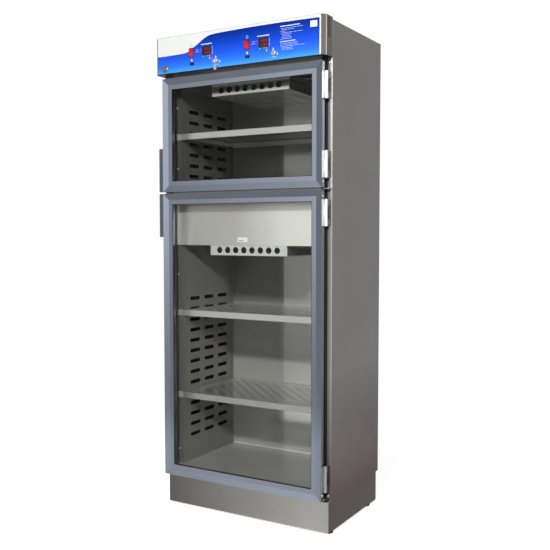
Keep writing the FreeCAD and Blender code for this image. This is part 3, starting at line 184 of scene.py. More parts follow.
def anodised(name, colour, mitred=None):
    material, tree, shader, place = startMaterial(name, Metallic=1.0)
    lines = cloud(tree, place, drawn["lines"], (1, 1, drawn["along"]))
    if mitred:
        level = cloud(tree, place, drawn["lines"], (drawn["along"], 1, 1))
        parts = addNode(tree, "ShaderNodeSeparateXYZ", {"Vector": place}).outputs
        fromSide = sums(tree, "SUBTRACT", mitred["half"], sums(tree, "ABSOLUTE", parts["X"]))
        offset = sums(tree, "SUBTRACT", parts["Z"], mitred["middle"])
        fromEnd = sums(tree, "SUBTRACT", mitred["tall"], sums(tree, "ABSOLUTE", offset))
        sockets = {0: sums(tree, "LESS_THAN", fromSide, fromEnd), 2: level, 3: lines}
        lines = addNode(tree, "ShaderNodeMix", sockets, data_type="FLOAT").outputs[0]
    broad = cloud(tree, place, drawn["smudges"])
    streak = drawn["streak"]
    tone = mixed(tree, lines, lighter(colour, 1 - streak), lighter(colour, 1 + streak))
    tone = mixed(tree, spread(tree, broad, 0.0, 1.0), tone, drawn["smudge"], "MULTIPLY")
    feed(tree, shader, "Base Color", tone)
    feed(tree, shader, "Roughness", spread(tree, lines, *drawn["rough"]))
    relief(tree, shader, lines, *drawn["bump"])
    return material


# Turned and plated metal

plate = {"rings": 900.0, "stretch": (1, 0.3, 1), "streak": 0.08, "bump": (0.00002, 0.3)}


def plated(name, colour, rough=(0.12, 0.24), ramps=(), metal=1.0):
    material, tree, shader, place = startMaterial(name, Metallic=metal)
    rings = cloud(tree, place, plate["rings"], plate["stretch"], 2.0)
    streak = plate["streak"]
    tone = mixed(tree, rings, lighter(colour, 1 - streak), lighter(colour, 1 + streak))
    feed(tree, shader, "Base Color", shaded(tree, place, tone, ramps))
    feed(tree, shader, "Roughness", spread(tree, rings, *rough))
    relief(tree, shader, rings, *plate["bump"])
    return material


# Moulded plastic and rubber, and printing ink

mould = {"coatRough": 0.12, "patches": 60.0, "patchy": 0.1, "strength": 0.4}


def moulded(name, colour, rough, grain=1400.0, depth=0.00004, coat=0.0, glow=0.0, shine=0.5):
    material, tree, shader, place = startMaterial(
        name, Coat_Weight=coat, Coat_Roughness=mould["coatRough"], Specular_IOR_Level=shine)
    if glow:
        shader.inputs["Emission Color"].default_value = colour
        shader.inputs["Emission Strength"].default_value = glow
    skin = cloud(tree, place, grain, (1, 1, 1), 2.0)
    patches = cloud(tree, place, mould["patches"])
    patchy = mould["patchy"]
    tone = mixed(tree, patches, lighter(colour, 1 - patchy), lighter(colour, 1 + patchy))
    feed(tree, shader, "Base Color", tone)
    feed(tree, shader, "Roughness", spread(tree, skin, *rough))
    relief(tree, shader, skin, depth, mould["strength"])
    return material


# Door panes: clear float glass that lets the lamps through, with a faint film

pane = {
    "index": 1.1, "film": 6.0, "stretch": (1, 1, 0.5), "rough": (0.0, 0.006),
    "filmy": (0.965, 0.97, 0.965, 1), "clear": (0.985, 0.988, 0.984, 1),
}


def paneGlass(name):
    material, tree, shader, place = startMaterial(name, Transmission_Weight=1.0,
                                                  IOR=pane["index"])
    film = cloud(tree, place, pane["film"], pane["stretch"], 4.0)
    feed(tree, shader, "Base Color", mixed(tree, film, pane["filmy"], pane["clear"]))
    feed(tree, shader, "Roughness", spread(tree, film, *pane["rough"]))
    rays = addNode(tree, "ShaderNodeLightPath").outputs
    lamps = sums(tree, "MAXIMUM", rays["Is Shadow Ray"], rays["Is Diffuse Ray"])
    through = addNode(tree, "ShaderNodeBsdfTransparent", {"Color": pane["filmy"]})
    sockets = {0: lamps, 1: shader.outputs["BSDF"], 2: through.outputs["BSDF"]}
    final = addNode(tree, "ShaderNodeMixShader", sockets)
    tree.links.new(final.outputs["Shader"], tree.nodes["Material Output"].inputs["Surface"])
    return material


# Console face: a white film with a blue field under a sweeping edge

overlay = {
    "left": -0.381, "right": 0.3596, "top": 1.893, "low": 1.762,
    "whiteEnd": 0.0214,  # the white strip right of the blue field
    "sweep": [(-0.381, 1.8302), (-0.359, 1.8306), (-0.290, 1.8309), (-0.234, 1.8330),
              (-0.2095, 1.8410), (-0.180, 1.8562), (-0.154, 1.8710), (-0.1306, 1.8834),
              (-0.1025, 1.8905), (-0.060, 1.8928), (0.381, 1.8930)],
    "edge": 0.0016,
    "white": paint(246, 247, 246),
    "blues": [(0.0, paint(80, 176, 255)), (0.18, paint(50, 132, 253)), (0.42, paint(38, 94, 246)),
              (0.72, paint(10, 70, 204)), (1.0, paint(0, 42, 150))],
    "line": paint(4, 28, 140),
    "shine": 0.12, "grain": 1500.0, "grainTone": 0.97, "rough": (0.36, 0.46),
    "bump": (0.00003, 0.3),
}


def printedFilm(name):
    material, tree, shader, place = startMaterial(name, Specular_IOR_Level=overlay["shine"])
    parts = addNode(tree, "ShaderNodeSeparateXYZ", {"Vector": place}).outputs
    left, low = overlay["left"], overlay["low"]
    span = overlay["right"] + overlay["whiteEnd"] - left
    tall = overlay["top"] - low
    across = sums(tree, "DIVIDE", sums(tree, "SUBTRACT", parts["X"], left), span)
    rise = sums(tree, "DIVIDE", sums(tree, "SUBTRACT", parts["Z"], low), tall)
    curve = addNode(tree, "ShaderNodeFloatCurve", {"Value": across})
    points = curve.mapping.curves[0].points
    spots = [((x - left) / span, (z - low) / tall) for x, z in overlay["sweep"]]
    points[0].location, points[-1].location = spots[0], spots[-1]
    for spot in spots[1:-1]:
        points.new(*spot)
    curve.mapping.update()
    edge = curve.outputs["Value"]
    inside = sums(tree, "MULTIPLY", sums(tree, "LESS_THAN", rise, edge),
                  sums(tree, "LESS_THAN", parts["X"], overlay["right"]))
    nearEdge = sums(tree, "GREATER_THAN", rise,
                    sums(tree, "SUBTRACT", edge, overlay["edge"] / tall))
    ramp = addNode(tree, "ShaderNodeValToRGB", {"Fac": rise})
    stops = ramp.color_ramp.elements
    stops[0].position, stops[0].color = overlay["blues"][0]
    stops[1].position, stops[1].color = overlay["blues"][-1]
    for position, colour in overlay["blues"][1:-1]:
        stops.new(position).color = colour
    blue = mixed(tree, nearEdge, ramp.outputs["Color"], overlay["line"])
    tone = mixed(tree, inside, overlay["white"], blue)
    grain = cloud(tree, place, overlay["grain"], (1, 1, 1), 2.0)
    tone = mixed(tree, grain, tone, lighter(overlay["white"], overlay["grainTone"]), "MULTIPLY")
    feed(tree, shader, "Base Color", tone)
    feed(tree, shader, "Roughness", spread(tree, grain, *overlay["rough"]))
    relief(tree, shader, grain, *overlay["bump"])
    return material


# Insulation

slab = {
    "fibres": 160.0, "dark": paint(168, 150, 92), "light": paint(222, 208, 152), "rough": 0.95,
    "bump": (0.001, 0.7),
}


def woolSlab(name):
    material, tree, shader, place = startMaterial(name, Roughness=slab["rough"])
    fibres = cloud(tree, place, slab["fibres"], (1, 1, 3), 6.0)
    feed(tree, shader, "Base Color", mixed(tree, fibres, slab["dark"], slab["light"]))
    relief(tree, shader, fibres, *slab["bump"])
    return material


# Painted shade by place: the spans, and the tint that multiplies the colour inside all of them

frontFlange = ("Y", -0.1785, -0.1795)
underConsole = ("Z", 1.7640, 1.7635)
linerMouth = ("Y", -0.145, -0.140)
backWall = ("Y", 0.2305, 0.2315)
leftOfStep = ("X", -0.0540, -0.0560)
aboveShelves = ("Z", 0.80, 0.83)
belowModule = ("Z", 1.30, 1.29)
upperChamber = ("Z", 1.29, 1.31)
shelfTops = (0.4700, 0.8129, 1.5341)


def slotWalls(top):  # the cut edges of a shelf's slots, just under its top face
    return [("Z", top - 0.00005, top - 0.0001), ("Z", top - 0.0030, top - 0.0025),
            ("Y", -0.130, -0.128)]


paintedShade = {
    # painted shade: the side panels turn darker and reddish brown towards the bottom
    "side": [([("Z", 0.62, 0.15)], (0.35, 0.245, 0.25, 1)),
             # painted shade: the front strips beside the doors are darker than the bend
             ([frontFlange, ("X", 0.3730, 0.3710)], grey(0.45)),
             # painted shade: the front bend is darker low down
             ([frontFlange, ("X", 0.3710, 0.3730), ("Z", 1.33, 1.25)], (0.62, 0.60, 0.55, 1)),
             # painted shadow: a dark strip on the right front strip next to the door edge
             ([frontFlange, ("X", 0.3645, 0.3625), ("X", 0.0, 0.1)], grey(0.15))],
    # painted shade: the underside of the console is darker, most at its front edge and its left
    # part
    "console": [([underConsole], grey(0.60)),
                ([underConsole, ("Y", -0.2350, -0.2400)], grey(0.20)),
                ([underConsole, ("X", -0.16, -0.19)], grey(0.35)),
                # painted shade: the strip on the console's right front corner is darkened, leaving
                # the bend line light
                ([("X", 0.3660, 0.3668), ("X", 0.3796, 0.3784)], grey(0.28))],
    # painted shade: the plinth is darker towards the left
    "plinth": [([("X", 0.30, -0.36)], grey(0.34)),
               # painted shade: the plinth's right side face is darker and warmer
               ([("X", 0.3700, 0.3708)], (0.26, 0.225, 0.22, 1))],
    # painted shade: the liner's side walls behind the baffle slots are nearly black
    "liner": [([("X", -0.342, -0.347), linerMouth], grey(0.03)),
              ([("X", 0.342, 0.347), linerMouth], grey(0.03)),
              # painted shade: the upper chamber is darker, fading out towards its top
              ([upperChamber, ("Z", 1.80, 1.70)], grey(0.60)),
              # painted shade: every liner face in front of the back wall is darker
              ([("Y", 0.2315, 0.2305)], grey(0.58)),
              # painted shade: the back wall is darker left of a vertical edge, more so above the
              # high lower shelf
              ([backWall, leftOfStep], grey(0.85)),
              ([backWall, leftOfStep, aboveShelves], grey(0.60)),
              # painted shade: the back wall is darker between the high shelf and the heater module
              ([backWall, aboveShelves, belowModule], grey(0.65)),
              # painted shade: the back wall is darker above the low shelf
              ([backWall, ("Z", 0.46, 0.49)], grey(0.87))],
    # painted shade: the baffles are darker towards the back, and their front flanges darker
    "baffle": [([("Y", -0.100, 0.200)], grey(0.70)), ([("Y", -0.1475, -0.1482)], grey(0.60)),
               # painted shade: the baffles in the upper chamber are darker
               ([upperChamber], grey(0.60))],
    # painted shade: the valance is darker from the middle towards the left, fading out at the left
    # end
    "valance": [([("X", 0.16, -0.06), ("X", -0.33, -0.25)], (0.70, 0.69, 0.68, 1))],
    # painted shade: the leaves and webs behind the barrels are dark, and the lower door's hinges
    # darker
    "hinge": [([("Y", -0.1960, -0.1880)], grey(0.22)), ([("Z", 0.50, 0.35)], grey(0.45))],
    # painted shade: the low shelf and the upper shelf are darker
    "shelf": [([("Z", 0.70, 0.50)], grey(0.70)), ([("Z", 1.30, 1.50)], grey(0.85))]
             # painted shade: the walls of the slots just under each shelf's top face are nearly
             # black
             + [(slotWalls(top), grey(0.12)) for top in shelfTops],
}

frameBlue = (0.41, 0.455, 0.54, 1)

finishes = {
    "sidePanel": brushedSteel("sidePanelSteel", (0.58, 0.572, 0.555, 1), "Z", (0.26, 0.36), 0.03,
                              paintedShade["side"], 1.0, [frontFlange]),
    "body": brushedSteel("bodySteel", (0.58, 0.57, 0.55, 1), "X"),
    "plinth": brushedSteel("plinthSteel", (0.64, 0.63, 0.61, 1), "X", (0.26, 0.36), 0.04,
                           paintedShade["plinth"]),
    "console": brushedSteel("consoleSteel", (0.44, 0.41, 0.36, 1), "Z", (0.24, 0.34), 0.08,
                            paintedShade["console"]),
    "liner": brushedSteel("linerSteel", (0.69, 0.684, 0.655, 1), "Z", (0.12, 0.18), 0.02,
                          paintedShade["liner"], 0.5, [("Z", 0.176, 0.172)]),
    # painted shade: the baffles' steel has a dark base colour, a shaded copy of the liner's steel
    "baffle": brushedSteel("baffleSteel", (0.23, 0.225, 0.21, 1), "Z", (0.36, 0.46), 0.02,
                           paintedShade["baffle"], 0.2),
    "rail": brushedSteel("railSteel", (0.56, 0.55, 0.52, 1), "Y", (0.26, 0.34), 0.02, (), 0.45),
    "shelf": brushedSteel("shelfSteel", (0.80, 0.79, 0.76, 1), "X", (0.20, 0.28), 0.01,
                          paintedShade["shelf"], 0.65),
    "valance": brushedSteel("valanceSteel", (0.90, 0.89, 0.86, 1), "X", (0.38, 0.46), 0.01,
                            paintedShade["valance"], 0.8),
    "duct": brushedSteel("ductSteel", (0.86, 0.86, 0.83, 1), "X", (0.10, 0.16), 0.02, (), 0.8),
    "module": brushedSteel("moduleSteel", (0.34, 0.34, 0.33, 1), "X", (0.25, 0.35), 0.04, (), 0.9),
    "impeller": brushedSteel("impellerSteel", (0.50, 0.50, 0.51, 1), "Z", (0.30, 0.45), 0.10),
    "sheath": brushedSteel("elementSheath", (0.28, 0.22, 0.17, 1), "X", (0.35, 0.5), 0.2),
    "screw": brushedSteel("screwSteel", (0.90, 0.90, 0.88, 1), "Y", (0.28, 0.38), 0.04, (), 0.5),
    "hinge": plated("hingeSteel", (0.90, 0.90, 0.89, 1), (0.34, 0.42), paintedShade["hinge"], 0.55),
    "keyMetal": plated("keyMetal", (0.78, 0.76, 0.70, 1)),
    "lockBronze": plated("lockBronze", (0.42, 0.29, 0.16, 1), (0.2, 0.32)),
    "lockPlug": plated("lockPlug", (0.40, 0.41, 0.42, 1), (0.2, 0.32)),
    "upperFrame": anodised("upperDoorAluminium", frameBlue,
                           {"half": 0.360, "middle": 1.521, "tall": 0.226}),
    "lowerFrame": anodised("lowerDoorAluminium", frameBlue,
                           {"half": 0.360, "middle": 0.713, "tall": 0.575}),
    "handle": anodised("handleAluminium", (0.23, 0.265, 0.305, 1)),
    "glass": paneGlass("paneGlass"),
    "film": printedFilm("consoleFilm"),
    "gasket": moulded("gasketRubber", (0.055, 0.055, 0.053, 1), (0.55, 0.72), 700.0, 0.0001,
                      shine=0.25),
    "rubber": moulded("blackRubber", (0.018, 0.018, 0.018, 1), (0.55, 0.72), 700.0, 0.0001,
                      shine=0.25),
    "switchBlack": moulded("switchBlack", (0.012, 0.012, 0.013, 1), (0.3, 0.42)),
    "display": moulded("displayWindow", (0.010, 0.005, 0.006, 1), (0.08, 0.14), 300.0, 0.00001),
    "red": moulded("rockerRed", paint(232, 14, 14), (0.22, 0.32), 1400.0, 0.00003, 0.3),
    "green": moulded("buttonGreen", paint(44, 204, 148), (0.3, 0.4)),
    "teal": moulded("buttonTeal", paint(32, 164, 204), (0.3, 0.4)),
    "orange": moulded("buttonOrange", paint(238, 100, 58), (0.3, 0.4)),
    "lamp": moulded("lampRed", paint(214, 24, 40), (0.15, 0.25), 900.0, 0.00002, 0.5, 0.15),
    "lens": moulded("lampLens", (0.05, 0.052, 0.05, 1), (0.12, 0.2)),
    "digits": moulded("digitRed", paint(190, 22, 22), (0.4, 0.5), 900.0, 0.00001, 0.0, 0.35),
    "inlet": moulded("inletBlack", (0.008, 0.008, 0.008, 1), (0.45, 0.6), shine=0.15),
    "clip": moulded("clipPlastic", (0.10, 0.004, 0.045, 1), (0.35, 0.5)),
    "strap": moulded("tagPlastic", paint(168, 176, 206), (0.3, 0.45)),
    "white": moulded("whiteInk", paint(248, 249, 250), (0.4, 0.5)),
    "pale": moulded("paleInk", paint(206, 214, 246), (0.4, 0.5)),
    "faint": moulded("faintInk", paint(168, 188, 244), (0.4, 0.5)),
    "grey": moulded("greyInk", paint(120, 122, 124), (0.4, 0.5)),
    "wool": woolSlab("mineralWool"),
}

worn = {
    "sidePanel": ["side_panel_left", "side_panel_right"],
    "body": ["back_panel", "top_panel", "base_pan", "front_rails"],
    "plinth": ["plinth"],
    "console": ["console_housing"],
    "liner": ["lower_liner", "upper_liner"],
    "baffle": ["air_baffles"],
    "rail": ["shelf_rails"],
    "shelf": ["upper_shelf", "lower_shelf_high", "lower_shelf_low"],
    "valance": ["valance_panel"],
    "duct": ["air_ducts"],
    "module": ["module_trays", "blowers"],
    "impeller": ["upper_impeller", "lower_impeller"],
    "sheath": ["heating_elements"],
    "hinge": ["body_hinge_halves", "upper_door_hinge_leaves", "lower_door_hinge_leaves"],
    "screw": ["assembly_screws"],
    "keyMetal": ["key_barrels", "left_key_tumbler", "right_key_tumbler", "console_key"],
    "strap": ["key_tag"],
    "lockBronze": ["lock_barrel"],
    "lockPlug": ["lock_cam"],
    "upperFrame": ["upper_door_frame"],
    "lowerFrame": ["lower_door_frame"],
    "handle": ["upper_door_handle", "lower_door_handle"],
    "glass": ["upper_door_glass", "lower_door_glass"],
    "film": ["control_overlay"],
    "rubber": ["rubber_feet", "upper_door_gasket", "lower_door_gasket"],
    "display": ["controllers"],
    "switchBlack": ["rocker_housings", "left_light_rocker", "right_light_rocker"],
    "red": ["left_power_rocker", "right_power_rocker"],
    "green": ["left_start_button", "right_start_button"],
    "teal": ["left_down_button", "right_down_button"],
    "orange": ["left_up_button", "right_up_button"],
    "lamp": ["indicator_lamps"],
    "lens": ["chamber_lamps"],
    "inlet": ["power_inlet"],
    "clip": ["shelf_clips"],
    "wool": ["insulation"],
}

for finish, names in worn.items():
    for name in names:
        data = nodes[name].data
        data.materials.clear()
        data.materials.append(finishes[finish])
print("finished", sum(len(names) for names in worn.values()), "nodes")


# Mesh helpers

def linked(name, mesh):
    made = bpy.data.objects.new(name, mesh)
    bpy.context.scene.collection.objects.link(made)
    return made


def meshObject(name, points, edges=(), faces=()):
    mesh = bpy.data.meshes.new(name)
    mesh.from_pydata([Vector(p) for p in points], list(edges), list(faces))
    return linked(name, mesh)


def builtObject(name, build):  # turns the faces outwards and ends the bmesh
    bmesh.ops.recalc_face_normals(build, faces=build.faces)
    mesh = bpy.data.meshes.new(name)
    build.to_mesh(mesh)
    build.free()
    return linked(name, mesh)


def roundAngles(count):
    return [index * 2 * math.pi / count for index in range(count)]


def skinRings(build, rings):  # walls from each ring to the next; a ring may be one point
    for low, high in zip(rings, rings[1:]):
        count = max(len(low), len(high))
        for index in range(count):
            nextOne = (index + 1) % count
            if len(low) == 1:
                build.faces.new((low[0], high[nextOne], high[index]))
            elif len(high) == 1:
                build.faces.new((low[index], low[nextOne], high[0]))
            else:
                build.faces.new((low[index], low[nextOne], high[nextOne], high[index]))


def rides(piece, body, covers=()):
    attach(piece, body)
    if covers:
        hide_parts(*covers)
    return piece


# Geometry Nodes helpers

def startTree(name, inputs):
    tree = bpy.data.node_groups.new(name, "GeometryNodeTree")
    tree.interface.new_socket("Geometry", in_out="INPUT", socket_type="NodeSocketGeometry")
    for label, kind in inputs:
        tree.interface.new_socket(label, in_out="INPUT", socket_type="NodeSocket" + kind)
    tree.interface.new_socket("Geometry", in_out="OUTPUT", socket_type="NodeSocketGeometry")
    return tree, addNode(tree, "NodeGroupInput").outputs


def endTree(tree, geometry, material):
    real = addNode(tree, "GeometryNodeRealizeInstances", {"Geometry": geometry})
    sockets = {"Geometry": real.outputs[0], "Material": material}
    dressed = addNode(tree, "GeometryNodeSetMaterial", sockets)
    addNode(tree, "NodeGroupOutput", {"Geometry": dressed.outputs[0]})
    return tree


def applyTree(source, tree, values, name, body, covers=()):
    modifier = source.modifiers.new("nodes", "NODES")
    modifier.node_group = tree
    for item in tree.interface.items_tree:
        if item.in_out == "INPUT" and item.name in values:
            modifier[item.identifier] = values[item.name]
    graph = bpy.context.evaluated_depsgraph_get()
    mesh = bpy.data.meshes.new_from_object(source.evaluated_get(graph), depsgraph=graph)
    source.modifiers.remove(modifier)
    bpy.data.objects.remove(source)
    mesh.name = name
    return rides(linked(name, mesh), body, covers)


def storeValues(piece, name, kind, values):
    attribute = piece.data.attributes.new(name, kind, "POINT")
    for item, value in zip(attribute.data, values):
        if kind == "FLOAT":
            item.value = value
        else:
            item.vector = value


def readValue(tree, name, kind):
    stored = addNode(tree, "GeometryNodeInputNamedAttribute", {"Name": name}, data_type=kind)
    return stored.outputs["Attribute"]


# Screws: one recessed pan head, set on every point

screw = {
    "radius": 3.6 * mm, "height": 2.2 * mm, "sides": 24,
    "arm": 1.9 * mm, "slot": 0.45 * mm, "recess": 1.2 * mm,
    "crown": [(1.0, 0.0), (1.0, 0.55), (0.9, 0.86), (0.7, 1.0)],  # shares of radius and height
    "rear": 0.2,  # a screw behind this faces backwards
    "seed": 11,
}
doorScrew = {
    "x": 0.360, "y": -0.2125, "heights": {"upper": (1.316, 1.723), "lower": (0.162, 1.264)},
}


def screwHead():
    radius, height = screw["radius"], screw["height"]
    arm, half = screw["arm"], screw["slot"]
    cross = [(half, half), (arm, half), (arm, -half), (half, -half), (half, -arm), (-half, -arm),
             (-half, -half), (-arm, -half), (-arm, half), (-half, half), (-half, arm), (half, arm)]
    build = bmesh.new()
    crown = []
    for across, up in screw["crown"]:
        r, y = radius * across, -height * up
        crown.append([build.verts.new((r * math.cos(a), y, r * math.sin(a)))
                      for a in roundAngles(screw["sides"])])
    recess = [[build.verts.new((x, y, z)) for x, z in reversed(cross)]
              for y in (-height, -height + screw["recess"])]
    skinRings(build, crown)
    skinRings(build, recess)
    build.faces.new(recess[1])
    build.faces.new(list(reversed(crown[0])))
    rim = [build.edges.get((loop[index], loop[(index + 1) % len(loop)]))
           for loop in (crown[-1], recess[0]) for index in range(len(loop))]
    bmesh.ops.triangle_fill(build, edges=rim, use_beauty=True)
    return builtObject("screwHead", build)


def scatterTree():
    tree, given = startTree("piecesOnPoints", [("Piece", "Object"), ("Finish", "Material")])
    piece = addNode(tree, "GeometryNodeObjectInfo", {"Object": given["Piece"]})
    angles = {"Y": readValue(tree, "roll", "FLOAT"), "Z": readValue(tree, "turn", "FLOAT")}
    sockets = {"Points": given["Geometry"], "Instance": piece.outputs["Geometry"],
               "Rotation": addNode(tree, "ShaderNodeCombineXYZ", angles).outputs[0]}
    placed = addNode(tree, "GeometryNodeInstanceOnPoints", sockets)
    return endTree(tree, placed.outputs["Instances"], given["Finish"])


def islands(name):  # the low and high corner of each separate solid in a node
    build = bmesh.new()
    build.from_mesh(nodes[name].data)
    bmesh.ops.remove_doubles(build, verts=build.verts, dist=1e-6)
    left = set(build.verts)
    found = []
    while left:
        queue = [left.pop()]
        group = list(queue)
        while queue:
            for edge in queue.pop().link_edges:
                for vert in edge.verts:
                    if vert in left:
                        left.remove(vert)
                        queue.append(vert)
                        group.append(vert)
        found.append([Vector([pick(v.co[i] for v in group) for i in range(3)])
                      for pick in (min, max)])
    build.free()
    return sorted(found, key=lambda box: tuple(box[0]))


# Each spot is a place, a turn about Z and a roll about Y

def scatter(name, piece, finish, body, spots, covers=()):
    source = meshObject(name + "Points", [spot[0] for spot in spots])
    storeValues(source, "turn", "FLOAT", [spot[1] for spot in spots])
    storeValues(source, "roll", "FLOAT", [spot[2] for spot in spots])
    values = {"Piece": piece, "Finish": finishes[finish]}
    return applyTree(source, onPoints, values, name, body, covers)


onPoints = scatterTree()
head = screwHead()
dice = random.Random(screw["seed"])
spots = []
for low, high in islands("assembly_screws"):
    x, z = (low.x + high.x) / 2, (low.z + high.z) / 2
    atBack = low.y > screw["rear"]
    y = high.y - screw["height"] if atBack else low.y + screw["height"]
    spots.append(((x, y, z), math.pi if atBack else 0.0, dice.uniform(0, math.pi)))
scatter("assemblyScrews", head, "screw", "cabinet", spots, ["assembly_screws"])

for side, heights in doorScrew["heights"].items():
    spots = [((doorScrew["x"], doorScrew["y"], z), math.pi / 2, dice.uniform(0, math.pi))
             for z in heights]
    scatter(side + "CornerScrews", head, "screw", side + "_door", spots)
bpy.data.objects.remove(head)
print("screws set")


# Seals that follow the door: the gasket behind the frame and the glazing beads round both panes

door = {
    "half": 0.360, "front": -0.2236, "thick": 0.022,
    "upper": (1.295, 1.747), "lower": (0.138, 1.288),
    "stile": 0.0423, "gasketInset": 0.019, "baseInset": 0.038,
}
gasket = {
    "base": [(0, 0), (35, 0), (35, 2.6), (34, 4), (1, 4), (0, 2.6)],
    "bulb": [(2.0, 3.2), (10.0, 3.2), (9.4, 7.0), (11.6, 11.0), (12.0, 15.5), (11.0, 19.4),
             (8.6, 21.0), (6.0, 21.2), (3.4, 21.0), (1.0, 19.4), (0.0, 15.5), (0.4, 11.0),
             (2.6, 7.0)],
    "bulbCorner": 6 * mm, "baseCorner": 2 * mm,
}
bead = {"front": [(-1.9, 6.3), (0.0, 5.9), (0.0, 8.3), (-1.9, 8.3)], "corner": 1.5 * mm}
cornerSteps = 5  # points on each rounded corner of a seal


def sweepTree():
    inputs = [("Profile", "Object"), ("Corner", "Float"), ("Depth", "Float"),
              ("Finish", "Material")]
    tree, given = startTree("sealAlongPath", inputs)
    path = addNode(tree, "GeometryNodeMeshToCurve", {0: given["Geometry"]})
    sockets = {"Curve": path.outputs[0], "Count": cornerSteps, "Radius": given["Corner"]}
    rounded = addNode(tree, "GeometryNodeFilletCurve", sockets, mode="POLY")
    level = addNode(tree, "GeometryNodeSetCurveNormal", {0: rounded.outputs[0]}, mode="Z_UP")
    info = addNode(tree, "GeometryNodeObjectInfo", {"Object": given["Profile"]})
    section = addNode(tree, "GeometryNodeMeshToCurve", {0: info.outputs["Geometry"]})
    sockets = {0: level.outputs[0], 1: section.outputs[0]}
    swept = addNode(tree, "GeometryNodeCurveToMesh", sockets)
    move = addNode(tree, "ShaderNodeCombineXYZ", {"Y": given["Depth"]})
    sockets = {"Geometry": swept.outputs[0], "Translation": move.outputs[0],
               "Rotation": (math.pi / 2, 0.0, 0.0)}
    stood = addNode(tree, "GeometryNodeTransform", sockets)
    return endTree(tree, stood.outputs[0], given["Finish"])


def ringEdges(count):
    return [(index, (index + 1) % count) for index in range(count)]


def sweptSeal(name, zRange, inset, profile, corner, finish, body):
    half = door["half"] - inset
    low, high = zRange[0] + inset, zRange[1] - inset
    corners = [(-half, low, 0), (half, low, 0), (half, high, 0), (-half, high, 0)]
    path = meshObject(name + "Path", corners, ringEdges(4))
    outline = [(u * mm, v * mm, 0) for u, v in profile]
    section = meshObject(name + "Section", outline, ringEdges(len(outline)))
    values = {"Profile": section, "Corner": corner, "Depth": door["front"],
              "Finish": finishes[finish]}
    piece = applyTree(path, alongPath, values, name, body)
    bpy.data.objects.remove(section)
    return piece


def joinPieces(name, pieces):
    build = bmesh.new()
    for piece in pieces:
        build.from_mesh(piece.data)
    mesh = pieces[0].data.copy()
    build.to_mesh(mesh)
    build.free()
    for piece in pieces:
        bpy.data.objects.remove(piece)
    mesh.name = name
    return linked(name, mesh)


def shifted(profile, depth):
    return [(u, v + depth) for u, v in profile]


alongPath = sweepTree()
thick = door["thick"] / mm
for side in ("upper", "lower"):
    body = side + "_door"
    zRange = door[side]
    base = sweptSeal(side + "GasketBase", zRange, door["baseInset"],
                     shifted(gasket["base"], thick), gasket["baseCorner"], "gasket", body)
    bulb = sweptSeal(side + "GasketBulb", zRange, door["gasketInset"],
                     shifted(gasket["bulb"], thick), gasket["bulbCorner"], "gasket", body)
    rides(joinPieces(side + "Gasket", [base, bulb]), body, [body + "_gasket"])
    sweptSeal(side + "FrontBead", zRange, door["stile"], bead["front"], bead["corner"], "rubber",
              body)
print("seals swept")


# Print on the console: lettering is plain thin bars on the film; x, z and sizes are in mm

faceY = -0.2431
ink = {"thick": 0.08 * mm}
groups = {"left": -128.2, "right": 127.0, "z": 1831.8}  # the middle of each chamber's controls
groupPrint = {  # from the middle of a group
    "title": (-27, 26, 25.3), "titleBlocks": (3.6, 2.6, 0.6, (5,)),
    "scale": {"x": 26.9, "top": 12.5, "pitch": 2.6, "bar": (2.2, 1.9), "steps": 11, "without": 5},
    "notes": [(-49, -36, 7.8, 1.8), (-52, -35, -0.2, 1.8), (37, 55, -57.2, 2.4)],
}
textBlock = {
    "bold": [(198, 281, 1880.5), (198, 264, 1825.5)],
    "boldBlocks": (3.2, 2.4, 0.6, (8, 16)),  # height, width, gap, and where words end
    "plain": [(204, 293, 1873), (204, 258, 1867.5), (200, 222, 1862), (200, 292, 1856.5),
              (206, 246, 1851), (206, 240, 1845.5), (206, 246, 1840), (200, 248, 1834.5),
              (200, 272, 1818.5), (200, 272, 1813), (200, 299, 1807.5), (204, 250, 1802),
              (206, 252, 1796.5)],
    "plainHeight": 1.5,
}
smallPrint = {"width": (4, 13), "gap": 1.7, "least": 3, "seed": 5}
segments = {  # seven strokes of one digit, in units of its half width and half height
    "a": (0, 1, 1), "b": (1, 0.5, 0), "c": (1, -0.5, 0), "d": (0, -1, 1), "e": (-1, -0.5, 0),
    "f": (-1, 0.5, 0), "g": (0, 0, 1),
}
shapes = {"0": "abcdef", "1": "bc", "2": "abged", "3": "abgcd", "5": "afgcd", "8": "abcdefg"}
readout = {
    "rows": [("1300", 8.0), ("1285", -8.0)], "pitch": 8.6, "halfWide": 2.5, "halfTall": 4.6,
    "stroke": 1.1, "y": -0.2423,
}


def barTree():
    tree, given = startTree("printedBars", [("Thickness", "Float"), ("Finish", "Material")])
    cube = addNode(tree, "GeometryNodeMeshCube", {"Size": (1, 1, 1)}).outputs["Mesh"]
    stored = {"Vector": readValue(tree, "size", "FLOAT_VECTOR")}
    size = addNode(tree, "ShaderNodeSeparateXYZ", stored).outputs
    sockets = {"X": size["X"], "Y": given["Thickness"], "Z": size["Z"]}
    scale = addNode(tree, "ShaderNodeCombineXYZ", sockets)
    sockets = {"Points": given["Geometry"], "Instance": cube, "Scale": scale.outputs[0]}
    placed = addNode(tree, "GeometryNodeInstanceOnPoints", sockets)
    return endTree(tree, placed.outputs["Instances"], given["Finish"])


# Each bar is its middle's x and z, its width and its height

def printBars(name, bars, finish, y=faceY):
    deep = y - ink["thick"] / 2
    source = meshObject(name + "Points", [(x * mm, deep, z * mm) for x, z, wide, tall in bars])
    sizes = [(wide * mm, 0, tall * mm) for x, z, wide, tall in bars]
    storeValues(source, "size", "FLOAT_VECTOR", sizes)
    values = {"Thickness": ink["thick"], "Finish": finishes[finish]}
    return applyTree(source, asBars, values, name, "cabinet")


